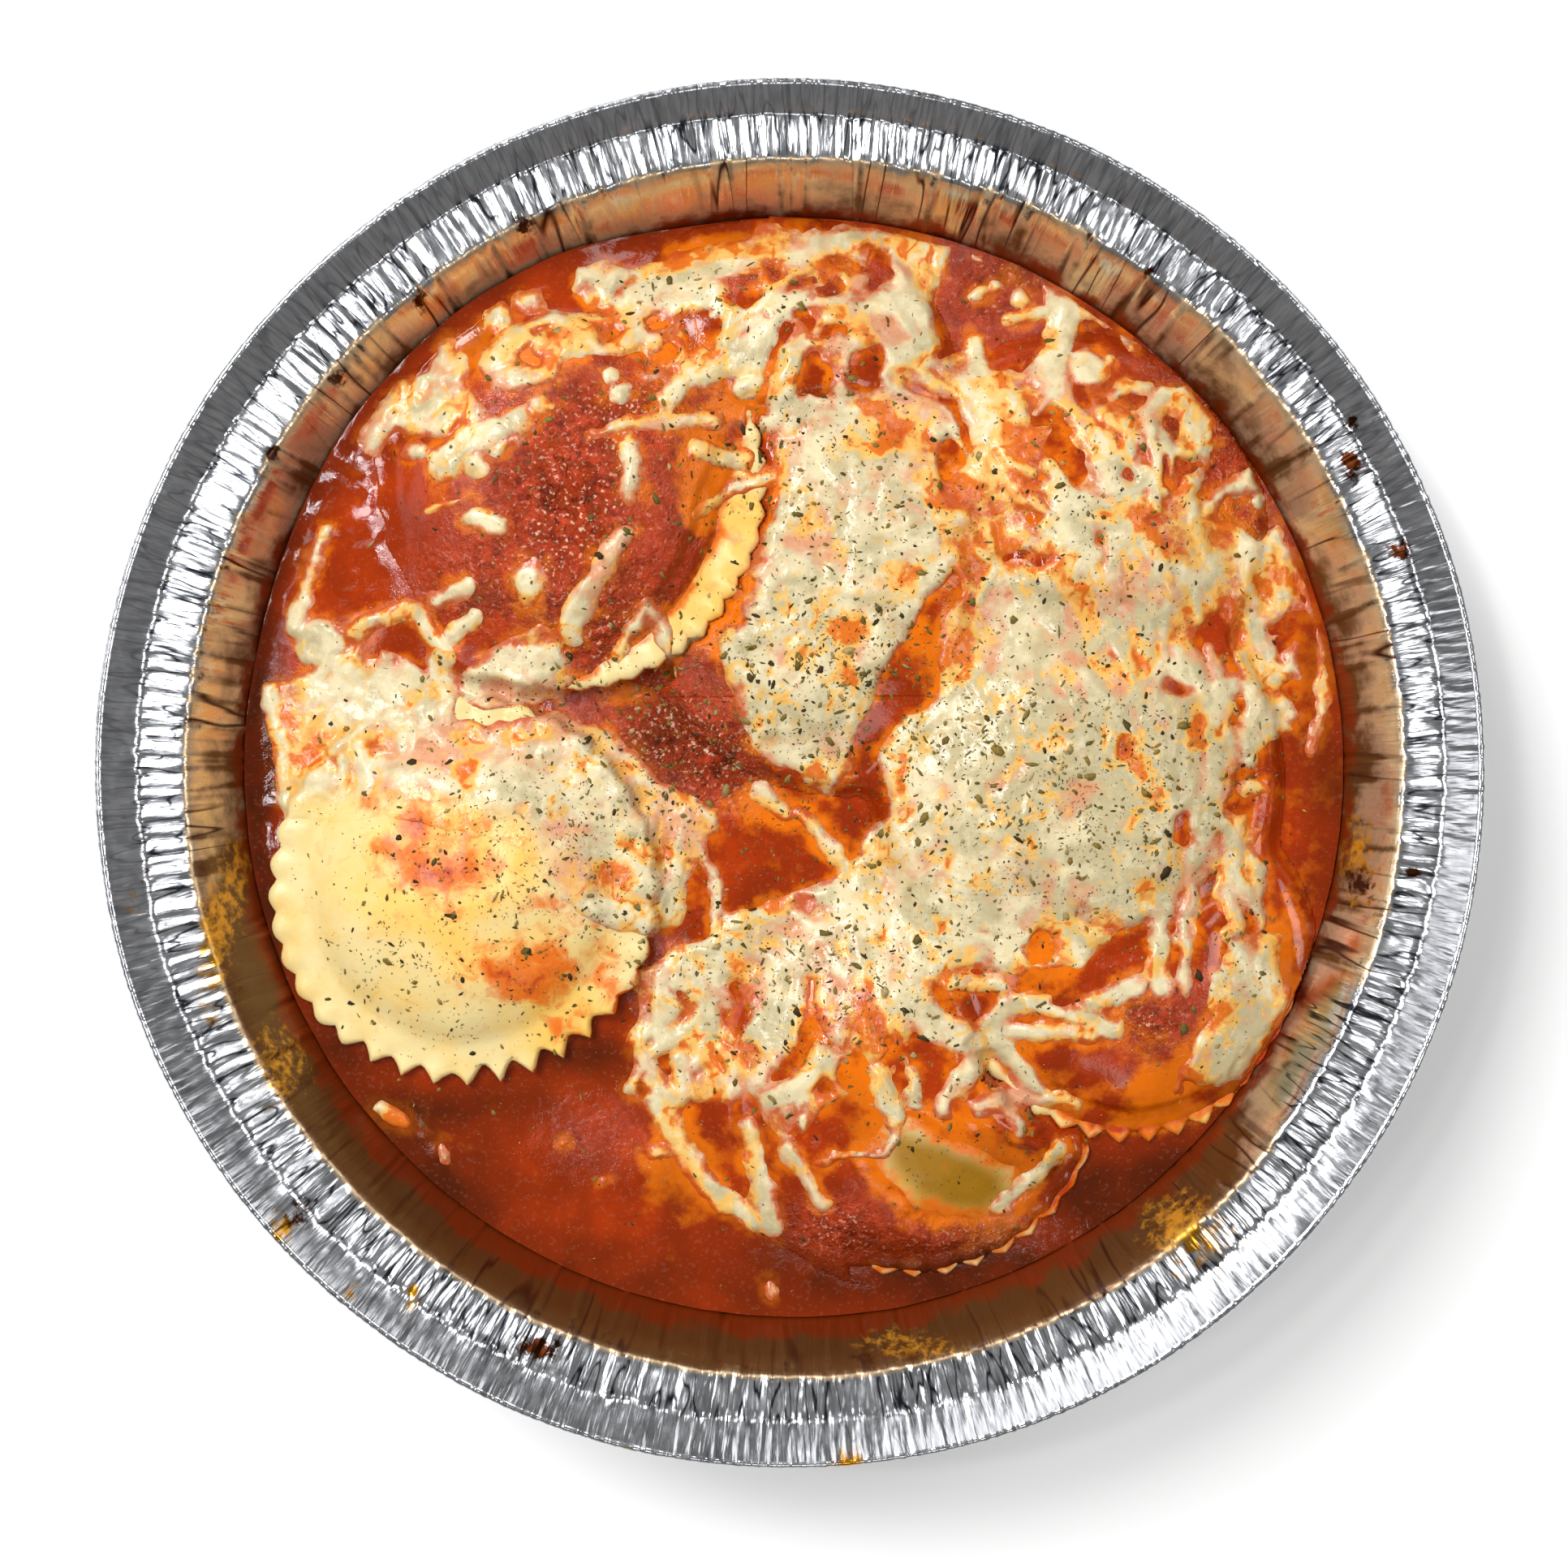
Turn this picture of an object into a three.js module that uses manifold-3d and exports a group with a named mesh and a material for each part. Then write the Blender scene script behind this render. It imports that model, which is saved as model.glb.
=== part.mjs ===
// Eight round ravioli in red sauce under melted cheese, in the foil pan they were baked in.
// Units are millimetres. +Z is up, +Y points to the far side of the pan, the origin is under its middle.

import * as THREE from 'three';
import { mergeVertices } from 'three/addons/utils/BufferGeometryUtils.js';
import Module from 'manifold-3d';

const wasm = await Module();
wasm.setup();

// Driving dimensions of the foil pan
const SHEET = 0.6;
const BASE_RADIUS = 89.5;
const BASE_CORNER = 2;
const WALL_TOP_RADIUS = 103.6;
const LEDGE_Z = 40;
const LEDGE_INNER_RADIUS = 104.6;
const LEDGE_OUTER_RADIUS = 111.6;
const BOWL_SHIFT = new THREE.Vector2(0.7, 1.1);
const LEDGE_SHIFT = new THREE.Vector2(0.2, 1.6);
const LIP_RADIUS = 117.2;
const LIP_Z = 44.6;
const CURL = 0.9;
const PAN_SEGMENTS = 72;
const PLEAT_DEPTH = 0.22;

// Driving dimensions of the filling
const GAP = 0.3;
const WALL_CLEARANCE = 0.7;
const SAUCE_Z = 25;
const FLANGE_HALF = 1.3;
const DOME_HEIGHT = 6;
const DOME_SHARE = 0.76;
const BELLY_DEPTH = 3.6;
const TEETH = 36;
const TOOTH_DEPTH = 2.2;
const CUTTER_SIDES = 18;
const CUTTER_GROWTH = GAP + 0.1;
const CHEESE_THICKNESS = 1.5;
const CHEESE_LEAST_VOLUME = 60;

// Each round of pasta: middle, height of its rim there, radius, and its slopes across and away
const RAVIOLI = [
  { name: 'ravioli_upper_left', x: -40.1, y: 49.1, z: 28.6, radius: 35.3, slopeX: 0.055, slopeY: -0.01 },
  { name: 'ravioli_right', x: 50.8, y: -2.2, z: 28.2, radius: 33.6, slopeX: -0.03, slopeY: -0.01 },
  { name: 'ravioli_middle', x: 8.9, y: 32.5, z: 27.4, radius: 34.3, slopeX: 0.01, slopeY: 0.015 },
  { name: 'ravioli_upper_right', x: 50, y: 43, z: 26.6, radius: 31.5, slopeX: -0.02, slopeY: -0.02 },
  { name: 'ravioli_top', x: -5, y: 66, z: 26.2, radius: 31, slopeX: 0.02, slopeY: -0.03 },
  { name: 'ravioli_left', x: -58.9, y: -22.1, z: 26.8, radius: 34.5, slopeX: 0.03, slopeY: 0.015 },
  { name: 'ravioli_lower_right', x: 60, y: -36, z: 25.8, radius: 31, slopeX: -0.02, slopeY: 0.02 },
  { name: 'ravioli_bottom', x: 21.6, y: -58.4, z: 25.2, radius: 32.5, slopeX: 0.01, slopeY: 0.02 },
];

// Outlines of the melted cheese seen from above, each a smooth closed curve through its points
const CHEESE_OUTLINES = [
  [[-74, 58], [-70, 68], [-56, 79], [-42, 82], [-30, 74], [-40, 67], [-50, 62], [-54, 54], [-66, 52]],
  [[-42, 80], [-30, 90], [-10, 95], [10, 96], [23, 91], [25, 78], [28, 66], [8, 66], [-10, 60], [-28, 66]],
  [[-6, 62], [12, 70], [28, 66], [31, 52], [27, 36], [22, 24], [13, 10], [4, -4], [-6, 6], [-11, 24], [-5, 42]],
  [[26, 62], [36, 70], [44, 90], [55, 84], [52, 73], [68, 70], [76, 56], [72, 46], [87, 42], [92, 12], [60, 14], [28, 30]],
  [[18, 8], [36, 26], [62, 22], [86, 14], [84, -12], [80, -28], [60, -37], [42, -33], [22, -24], [8, -14]],
  [[-25, -37], [-8, -26], [24, -24], [42, -36], [42, -46], [28, -54], [16, -60], [0, -67], [-16, -60], [-26, -62], [-31, -48]],
  [[-93, 4], [-94, 16], [-86, 36], [-76, 22], [-50, 15], [-30, 3], [-17, -10], [-20, -28], [-38, -24], [-60, -6], [-80, -2]],
  [[73, -30], [84, -31], [86, -44], [78, -56], [67, -57], [73, -43]],
];

// Finishes
const FOIL = new THREE.MeshStandardMaterial({ color: 0xc4c4c6, roughness: 0.32, metalness: 1 });
const SAUCE = new THREE.MeshStandardMaterial({ color: 0x8e2408, roughness: 0.25, metalness: 0 });
const PASTA = new THREE.MeshStandardMaterial({ color: 0xdcb866, roughness: 0.45, metalness: 0 });
const CHEESE = new THREE.MeshStandardMaterial({ color: 0xe8dcb4, roughness: 0.35, metalness: 0 });

/** Turns a closed geometry into a solid that can be cut and joined. */
function toSolid(geometry) {
  const bare = geometry.clone();
  bare.deleteAttribute('normal');
  bare.deleteAttribute('uv');
  const merged = mergeVertices(bare, 1e-4);
  const vertProperties = new Float32Array(merged.attributes.position.array);
  const triVerts = new Uint32Array(merged.index.array);
  return new wasm.Manifold(new wasm.Mesh({ numProp: 3, vertProperties, triVerts }));
}

/** Turns a solid back into a geometry. */
function toGeometry(solid) {
  const mesh = solid.getMesh();
  const geometry = new THREE.BufferGeometry();
  geometry.setAttribute('position', new THREE.BufferAttribute(mesh.vertProperties, 3));
  geometry.setIndex(new THREE.BufferAttribute(mesh.triVerts, 1));
  geometry.computeVertexNormals();
  return geometry;
}

/** The largest of a solid's separate bodies. */
function largestBody(solid) {
  const bodies = solid.decompose();
  return bodies.reduce((best, body) => (body.volume() > best.volume() ? body : best));
}

/** The radius of the pan's middle sheet at a height on its wall. */
function wallRadius(z) {
  const share = (z - BASE_CORNER) / (LEDGE_Z - BASE_CORNER);
  return BASE_RADIUS + 1 + share * (WALL_TOP_RADIUS - BASE_RADIUS - 1);
}

/** Offsets a run of profile points sideways, along the mean of the normals beside each point. */
function offsetRun(run, distance) {
  return run.map((point, index) => {
    const before = run[Math.max(index - 1, 0)];
    const after = run[Math.min(index + 1, run.length - 1)];
    const along = new THREE.Vector2().subVectors(after, before).normalize();
    const moved = new THREE.Vector2(point.x - along.y * distance, point.y + along.x * distance);
    moved.x = point.x === 0 ? 0 : moved.x;
    return moved;
  });
}

/** How far the bent rim stands off the lip's middle at a radius: the bowl, the ledge's edge or the lip. */
function rimShift(radius) {
  if (radius < (LEDGE_INNER_RADIUS + LEDGE_OUTER_RADIUS) / 2) {
    return BOWL_SHIFT;
  }
  return radius < (LEDGE_OUTER_RADIUS + LIP_RADIUS) / 2 ? LEDGE_SHIFT : new THREE.Vector2();
}

/** The thin pan: flat base, leaning wall, ledge, raised lip and the curl at its edge. */
function panGeometry() {
  const half = SHEET / 2;
  const middle = [
    new THREE.Vector2(0, half),
    new THREE.Vector2(BASE_RADIUS - BASE_CORNER, half),
    new THREE.Vector2(wallRadius(BASE_CORNER), BASE_CORNER),
    new THREE.Vector2(wallRadius(SAUCE_Z), SAUCE_Z),
    new THREE.Vector2(WALL_TOP_RADIUS, LEDGE_Z - CURL),
    new THREE.Vector2(LEDGE_INNER_RADIUS, LEDGE_Z),
    new THREE.Vector2(LEDGE_OUTER_RADIUS, LEDGE_Z + half),
    new THREE.Vector2(LIP_RADIUS - CURL, LIP_Z - half),
    new THREE.Vector2(LIP_RADIUS, LIP_Z - CURL),
  ];
  const upper = offsetRun(middle, half);
  const under = offsetRun(middle, -half);
  under[1].y = 0;
  const geometry = new THREE.LatheGeometry([...under, ...upper.reverse()], PAN_SEGMENTS);
  const position = geometry.attributes.position;
  for (let i = 0; i < position.count; i += 1) {
    const x = position.getX(i);
    const up = position.getY(i);
    const y = -position.getZ(i);
    const radius = Math.hypot(x, y);
    const segment = Math.round((Math.atan2(y, x) / (2 * Math.PI)) * PAN_SEGMENTS);
    const onWall = up > SAUCE_Z / 2;
    const fold = onWall ? PLEAT_DEPTH * (segment % 2 === 0 ? 1 : -1) : 0;
    const scale = radius > 0 ? (radius + fold) / radius : 1;
    const shift = rimShift(radius);
    position.setXYZ(i, x * scale + shift.x, y * scale + shift.y, up);
  }
  return geometry;
}

/** A solid that fills the pan's inside between two heights, a clearance off its wall. */
function panInside(lowZ, highZ) {
  const clearance = SHEET / 2 + WALL_CLEARANCE;
  const profile = [
    new THREE.Vector2(0, lowZ),
    new THREE.Vector2(Math.min(wallRadius(lowZ), BASE_RADIUS - BASE_CORNER) - clearance, lowZ),
    new THREE.Vector2(wallRadius(lowZ + BASE_CORNER) - clearance, lowZ + BASE_CORNER),
    new THREE.Vector2(wallRadius(highZ) - clearance, highZ),
    new THREE.Vector2(0, highZ),
  ];
  const geometry = new THREE.LatheGeometry(profile, PAN_SEGMENTS / 2);
  geometry.rotateX(Math.PI / 2);
  return geometry;
}

/** Joins rings of points, one above the other and closed by a pole at each end, into a skin. */
function ringSkin(rings) {
  const corners = [];
  const starts = [];
  for (const ring of rings) {
    starts.push(corners.length / 3);
    ring.forEach((point) => corners.push(point.x, point.y, point.z));
  }
  const faces = [];
  for (let level = 0; level < rings.length - 1; level += 1) {
    const lowCount = rings[level].length;
    const highCount = rings[level + 1].length;
    const low = (i) => starts[level] + (i % lowCount);
    const high = (i) => starts[level + 1] + (i % highCount);
    const lowSteps = lowCount === 1 ? 0 : lowCount;
    const highSteps = highCount === 1 ? 0 : highCount;
    let i = 0;
    let j = 0;
    while (i < lowSteps || j < highSteps) {
      const lowNext = i < lowSteps ? (i + 0.5) / lowSteps : Infinity;
      const highNext = j < highSteps ? (j + 0.5) / highSteps : Infinity;
      if (lowNext <= highNext) {
        faces.push(low(i), low(i + 1), high(j));
        i += 1;
      } else {
        faces.push(low(i), high(j + 1), high(j));
        j += 1;
      }
    }
  }
  const geometry = new THREE.BufferGeometry();
  geometry.setAttribute('position', new THREE.Float32BufferAttribute(corners, 3));
  geometry.setIndex(faces);
  return geometry;
}

/** One ring of a round of pasta, or its pole when the count is 1, at a height over its sloping rim. */
function pastaRing(piece, radius, height, count, tooth = 0) {
  const ring = [];
  for (let i = 0; i < count; i += 1) {
    const angle = (2 * Math.PI * i) / count;
    const reach = radius - (i % 2 === 1 ? tooth : 0);
    const x = reach * Math.cos(angle);
    const y = reach * Math.sin(angle);
    const lift = piece.slopeX * x + piece.slopeY * y;
    ring.push(new THREE.Vector3(piece.x + x, piece.y + y, piece.z + lift + height));
  }
  return ring;
}

/** The rings of a pasta's upper side, from its rim to the pole of its dome. */
function upperRings(piece, grow, edge, edgeCount, tooth = 0) {
  const dome = piece.radius * DOME_SHARE;
  const rim = FLANGE_HALF + grow;
  const foot = dome * (edge / piece.radius);
  return [
    pastaRing(piece, edge, rim, edgeCount, tooth),
    pastaRing(piece, foot, rim, Math.min(edgeCount, TEETH)),
    pastaRing(piece, dome * 0.78 + grow, rim + DOME_HEIGHT * 0.62, 18),
    pastaRing(piece, dome * 0.4 + grow, rim + DOME_HEIGHT * 0.95, 12),
    pastaRing(piece, 0, rim + DOME_HEIGHT, 1),
  ];
}

/** A filled round of pasta: belly, toothed rim and dome. */
function pastaGeometry(piece) {
  const belly = -FLANGE_HALF - BELLY_DEPTH;
  return ringSkin([
    pastaRing(piece, 0, belly, 1),
    pastaRing(piece, piece.radius * DOME_SHARE * 0.8, belly, 18),
    pastaRing(piece, piece.radius, -FLANGE_HALF, 2 * TEETH, TOOTH_DEPTH),
    ...upperRings(piece, 0, piece.radius, 2 * TEETH, TOOTH_DEPTH),
  ]);
}

/** The rim radius of a coarse shape that holds a whole pasta, grown by a distance. */
function cutterRadius(piece, grow) {
  return (piece.radius + grow) / Math.cos(Math.PI / CUTTER_SIDES);
}

/** A coarse shape just larger than a pasta, for cutting its neighbours clear of it. */
function pastaCutter(piece) {
  const edge = cutterRadius(piece, CUTTER_GROWTH);
  const rim = -FLANGE_HALF - CUTTER_GROWTH;
  return ringSkin([
    pastaRing(piece, 0, rim - BELLY_DEPTH, 1),
    pastaRing(piece, piece.radius * DOME_SHARE * 0.8 + CUTTER_GROWTH, rim - BELLY_DEPTH, CUTTER_SIDES),
    pastaRing(piece, edge, rim, CUTTER_SIDES),
    ...upperRings(piece, CUTTER_GROWTH, edge, CUTTER_SIDES),
  ]);
}

/** A pasta grown by a distance and drawn straight down, as a cover for what lies on it. */
function pastaCover(piece, grow) {
  const edge = cutterRadius(piece, grow);
  const depth = SAUCE_Z / 2;
  return ringSkin([
    pastaRing(piece, 0, -depth, 1),
    pastaRing(piece, edge, -depth, CUTTER_SIDES),
    ...upperRings(piece, grow, edge, CUTTER_SIDES),
  ]);
}

/** The whole food's upper side, raised by a distance and solid below it. */
function foodCover(grow) {
  const pool = new THREE.CylinderGeometry(LIP_RADIUS, LIP_RADIUS, SAUCE_Z / 2 + grow, CUTTER_SIDES);
  pool.rotateX(Math.PI / 2);
  pool.translate(0, 0, (SAUCE_Z * 1.5 + grow) / 2);
  let cover = toSolid(pool);
  for (const piece of RAVIOLI) {
    cover = cover.add(toSolid(pastaCover(piece, grow)));
  }
  return cover;
}

/** A tall prism over one outline of cheese. */
function cheesePrism(points) {
  const curve = new THREE.CatmullRomCurve3(points.map(([x, y]) => new THREE.Vector3(x, y, 0)), true);
  const outline = curve.getPoints(Math.round(points.length * 1.5)).slice(0, -1);
  const shape = new THREE.Shape(outline.map((point) => new THREE.Vector2(point.x, point.y)));
  const geometry = new THREE.ExtrudeGeometry(shape, { depth: LEDGE_Z - SAUCE_Z / 2, bevelEnabled: false });
  geometry.translate(0, 0, SAUCE_Z / 2);
  return geometry;
}

/** The cheese: a layer over the food's upper side inside its outlines, largest body first. */
function cheeseBodies() {
  let outlines = toSolid(cheesePrism(CHEESE_OUTLINES[0]));
  for (const points of CHEESE_OUTLINES.slice(1)) {
    outlines = outlines.add(toSolid(cheesePrism(points)));
  }
  const layer = foodCover(CUTTER_GROWTH + CHEESE_THICKNESS).subtract(foodCover(CUTTER_GROWTH));
  const inside = toSolid(panInside(SAUCE_Z * 0.75, LEDGE_Z));
  const bodies = layer.intersect(outlines).intersect(inside).decompose();
  const kept = bodies.filter((body) => body.volume() > CHEESE_LEAST_VOLUME);
  return kept.sort((a, b) => b.volume() - a.volume());
}

/** Each round of pasta, cut where a higher one presses on it. */
function pastaBodies() {
  const inside = toSolid(panInside(SHEET + GAP, LEDGE_Z));
  return RAVIOLI.map((piece, index) => {
    let body = toSolid(pastaGeometry(piece)).intersect(inside);
    for (const above of RAVIOLI.slice(0, index)) {
      body = body.subtract(toSolid(pastaCutter(above)));
    }
    return largestBody(body);
  });
}

/** The sauce, up to its level and cut round the pasta. */
function sauceBody() {
  let body = toSolid(panInside(SHEET + GAP, SAUCE_Z));
  for (const piece of RAVIOLI) {
    body = body.subtract(toSolid(pastaCutter(piece)));
  }
  return largestBody(body);
}

/** Adds one named piece to a group. */
function addPiece(group, name, geometry, material) {
  const mesh = new THREE.Mesh(geometry, material.clone());
  mesh.name = name;
  group.add(mesh);
}

const group = new THREE.Group();
addPiece(group, 'foil_pan', panGeometry(), FOIL);

// The food's places are given from the bowl's middle, which the bent rim leaves a little off the lip's
const food = new THREE.Group();
food.position.set(BOWL_SHIFT.x, BOWL_SHIFT.y, 0);
group.add(food);
addPiece(food, 'sauce', toGeometry(sauceBody()), SAUCE);
pastaBodies().forEach((body, index) => {
  addPiece(food, RAVIOLI[index].name, toGeometry(body), PASTA);
});
cheeseBodies().forEach((body, index) => {
  addPiece(food, `cheese_${index + 1}`, toGeometry(body), CHEESE);
});

export default group;
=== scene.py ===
"""Eight round ravioli in red sauce under melted cheese, in the foil pan they were baked in."""

import logging
import math
from dataclasses import dataclass, field
from enum import Enum

import bmesh
import bpy
import numpy as np
from mathutils import Matrix, Vector


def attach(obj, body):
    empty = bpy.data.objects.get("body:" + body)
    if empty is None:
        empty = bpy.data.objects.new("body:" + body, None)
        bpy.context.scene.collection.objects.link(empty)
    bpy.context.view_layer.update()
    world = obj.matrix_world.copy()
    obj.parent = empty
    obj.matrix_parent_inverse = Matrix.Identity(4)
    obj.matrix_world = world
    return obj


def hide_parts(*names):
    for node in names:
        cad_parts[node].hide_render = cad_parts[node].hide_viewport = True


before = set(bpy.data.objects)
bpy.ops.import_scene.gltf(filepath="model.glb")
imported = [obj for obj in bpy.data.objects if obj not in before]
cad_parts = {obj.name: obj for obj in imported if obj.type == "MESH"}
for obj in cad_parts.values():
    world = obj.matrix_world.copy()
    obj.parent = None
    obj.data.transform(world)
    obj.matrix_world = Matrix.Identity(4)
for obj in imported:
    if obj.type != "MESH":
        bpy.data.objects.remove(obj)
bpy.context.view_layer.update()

LOG = logging.getLogger("ravioli")
MM = 0.001
TURN = 2 * math.pi
Array = np.ndarray
Point = tuple[float, float]
Socket = bpy.types.NodeSocket

# The bent rim leaves the bowl and the ledge a little off the lip's middle, all in millimetres
BOWL_SHIFT: Point = (0.7, 1.1)
LEDGE_SHIFT: Point = (0.2, 1.6)
SAUCE_LEVEL = 25.0
HIDDEN_LEVEL = 22.0
FOOD_REACH = 98.6

# Rounds of pasta that get their own treatment, by their order in PASTA
UPPER_LEFT, LEFT, LOWER_RIGHT, BOTTOM = 0, 5, 6, 7


def smooth_step(low: float, high: float, value: Array) -> Array:
    """Eases from 0 at low to 1 at high.

    Args:
        low: Value where the ease starts.
        high: Value where it ends.
        value: What is eased.

    Returns:
        The eased share of each value.
    """
    share = np.clip((value - low) / (high - low), 0.0, 1.0)
    return share * share * (3 - 2 * share)


def smooth_max(first: Array, second: Array, blend: float) -> Array:
    """The greater of two fields, with a soft fillet where they meet.

    Args:
        first: One field.
        second: The other field.
        blend: How far apart the two may be and still melt together.

    Returns:
        The joined field.
    """
    share = np.clip(0.5 + 0.5 * (first - second) / blend, 0.0, 1.0)
    return second + (first - second) * share + blend * share * (1 - share)


class Lattice:
    """Seeded smooth noise, the same on every run."""

    SIZE = 128

    def __init__(self, seed: int) -> None:
        """Draws the slopes at the lattice's corners from a seed."""
        angles = np.random.default_rng(seed).random((self.SIZE, self.SIZE)) * TURN
        self._across = np.cos(angles)
        self._away = np.sin(angles)

    def at(self, x: Array, y: Array, scale: float) -> Array:
        """Noise of about -1 to 1.

        Args:
            x: Places across.
            y: Places away.
            scale: Distance between lattice corners.

        Returns:
            One value for each place.
        """
        column = np.floor(x / scale).astype(int)
        row = np.floor(y / scale).astype(int)
        u = x / scale - column
        v = y / scale - row
        ease_u = u * u * u * (u * (u * 6 - 15) + 10)
        ease_v = v * v * v * (v * (v * 6 - 15) + 10)

        def corner(i: int, j: int) -> Array:
            """The share of one corner's slope."""
            a = (column + i) % self.SIZE
            b = (row + j) % self.SIZE
            return self._across[a, b] * (u - i) + self._away[a, b] * (v - j)

        near = corner(0, 0) * (1 - ease_u) + corner(1, 0) * ease_u
        far = corner(0, 1) * (1 - ease_u) + corner(1, 1) * ease_u
        return (near * (1 - ease_v) + far * ease_v) * 1.5

    def layered(self, x: Array, y: Array, scale: float, layers: int = 3) -> Array:
        """Noise with finer noise on it.

        Args:
            x: Places across.
            y: Places away.
            scale: Size of the coarsest layer.
            layers: How many layers, each half as coarse and half as strong.

        Returns:
            One value for each place.
        """
        total = np.zeros_like(x, dtype=float)
        for layer in range(layers):
            offset = 17.3 * layer
            total += self.at(x + offset, y - offset, scale / 2**layer) / 2**layer
        return total


class Shapes:
    """Shapes seen from above, as distances in millimetres that are positive inside."""

    @staticmethod
    def to_line(x: Array, y: Array, start: Point, end: Point) -> tuple[Array, Array]:
        """Measures places against a straight line between two points.

        Args:
            x: Places across.
            y: Places away.
            start: The line's first end.
            end: Its other end.

        Returns:
            How far along the line the nearest point is, from 0 to 1, and the distance to it.
        """
        across, away = end[0] - start[0], end[1] - start[1]
        length = max(across**2 + away**2, 1e-9)
        share = np.clip(((x - start[0]) * across + (y - start[1]) * away) / length, 0, 1)
        return share, np.hypot(x - start[0] - across * share, y - start[1] - away * share)

    @staticmethod
    def stroke(x: Array, y: Array, points: list[Point], widths: tuple[float, ...]) -> Array:
        """A round-ended stroke along some points.

        Args:
            x: Places across.
            y: Places away.
            points: The points that it follows.
            widths: Its width at the start and at the end.

        Returns:
            The distance inside it.
        """
        best = np.full_like(x, -1e3, dtype=float)
        steps = max(len(points) - 1, 1)
        ends = points[1:] if len(points) > 1 else points
        for index, (start, end) in enumerate(zip(points, ends)):
            share, distance = Shapes.to_line(x, y, start, end)
            run = (index + share) / steps
            half = (widths[0] * (1 - run) + widths[-1] * run) / 2
            best = np.maximum(best, half - distance)
        return best

    @staticmethod
    def outline(x: Array, y: Array, points: list[Point]) -> Array:
        """A closed outline with straight sides.

        Args:
            x: Places across.
            y: Places away.
            points: Its corners in order.

        Returns:
            The distance inside it.
        """
        inside = np.zeros(x.shape, dtype=bool)
        nearest = np.full_like(x, 1e3, dtype=float)
        for start, end in zip(points, points[1:] + points[:1]):
            across, away = end[0] - start[0], end[1] - start[1]
            nearest = np.minimum(nearest, Shapes.to_line(x, y, start, end)[1])
            if away != 0:
                crosses = (start[1] > y) != (end[1] > y)
                inside ^= crosses & (x < across * (y - start[1]) / away + start[0])
        return np.where(inside, nearest, -nearest)

    @staticmethod
    def oval(x: Array, y: Array, centre: Point, radii: Point) -> Array:
        """An upright oval.

        Args:
            x: Places across.
            y: Places away.
            centre: Its middle.
            radii: Its half width and half height.

        Returns:
            Roughly the distance inside it.
        """
        reach = np.hypot((x - centre[0]) / radii[0], (y - centre[1]) / radii[1])
        return (1 - reach) * min(radii)


class Grid:
    """The square grid on which the food's upper side is worked out, in millimetres."""

    HALF = 100.0
    STEP = 0.4

    def __init__(self) -> None:
        """Lays out the grid's places."""
        self.count = int(2 * self.HALF / self.STEP) + 1
        line = np.linspace(-self.HALF, self.HALF, self.count)
        self.x, self.y = np.meshgrid(line, line)
        self.radius = np.hypot(self.x, self.y)

    def sample(self, values: Array, x: Array, y: Array) -> Array:
        """Reads a field between the grid's places.

        Args:
            values: A field on the grid.
            x: Places across.
            y: Places away.

        Returns:
            The field at those places.
        """
        column = np.clip((x + self.HALF) / self.STEP, 0, self.count - 1.001)
        row = np.clip((y + self.HALF) / self.STEP, 0, self.count - 1.001)
        i = column.astype(int)
        j = row.astype(int)
        u = column - i
        v = row - j
        near = values[j, i] * (1 - u) + values[j, i + 1] * u
        far = values[j + 1, i] * (1 - u) + values[j + 1, i + 1] * u
        return near * (1 - v) + far * v

    def widen(self, values: Array, reach: float) -> Array:
        """Lets a field's high places grow outwards.

        Args:
            values: A field on the grid.
            reach: How far they grow in millimetres.

        Returns:
            The grown field.
        """
        wide = values
        for turn in range(round(reach / self.STEP)):
            shifts = [(1, 0), (-1, 0), (0, 1), (0, -1)]
            if turn % 2:
                shifts += [(1, 1), (1, -1), (-1, 1), (-1, -1)]
            wide = np.maximum.reduce([wide] + [np.roll(wide, shift, (0, 1)) for shift in shifts])
        return wide

    def blur(self, values: Array, spread: float) -> Array:
        """Softens a field.

        Args:
            values: A field on the grid.
            spread: The softening's reach in millimetres.

        Returns:
            The softened field.
        """
        pad = int(3 * spread / self.STEP) + 1
        wide = np.pad(values, pad, mode="edge")
        rows = np.fft.fftfreq(wide.shape[0], d=self.STEP)[:, None]
        columns = np.fft.rfftfreq(wide.shape[1], d=self.STEP)[None, :]
        keep = np.exp(-2 * (math.pi * spread) ** 2 * (rows**2 + columns**2))
        soft = np.fft.irfft2(np.fft.rfft2(wide) * keep, s=wide.shape)
        return soft[pad:-pad, pad:-pad]


@dataclass(frozen=True)
class Spot:
    """A soft oval of colour or height: its middle, its half sizes and its strength."""

    x: float
    y: float
    half_width: float
    half_height: float
    strength: float = 1.0


def spot_field(x: Array, y: Array, spots: list[Spot]) -> Array:
    """Adds up soft ovals.

    Args:
        x: Places across.
        y: Places away.
        spots: The ovals.

    Returns:
        Their sum at each place.
    """
    total = np.zeros_like(x, dtype=float)
    for spot in spots:
        reach = ((x - spot.x) / spot.half_width) ** 2 + ((y - spot.y) / spot.half_height) ** 2
        total += spot.strength * np.exp(-1.2 * reach)
    return total


class Body(Enum):
    """The bodies that pieces ride on."""

    ROOT = "root"


class Slot(Enum):
    """The record's finishes."""

    FOIL = "foil"
    SAUCE = "sauce"
    PASTA = "pasta"
    CHEESE = "cheese"
    HERBS = "herbs"


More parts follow.
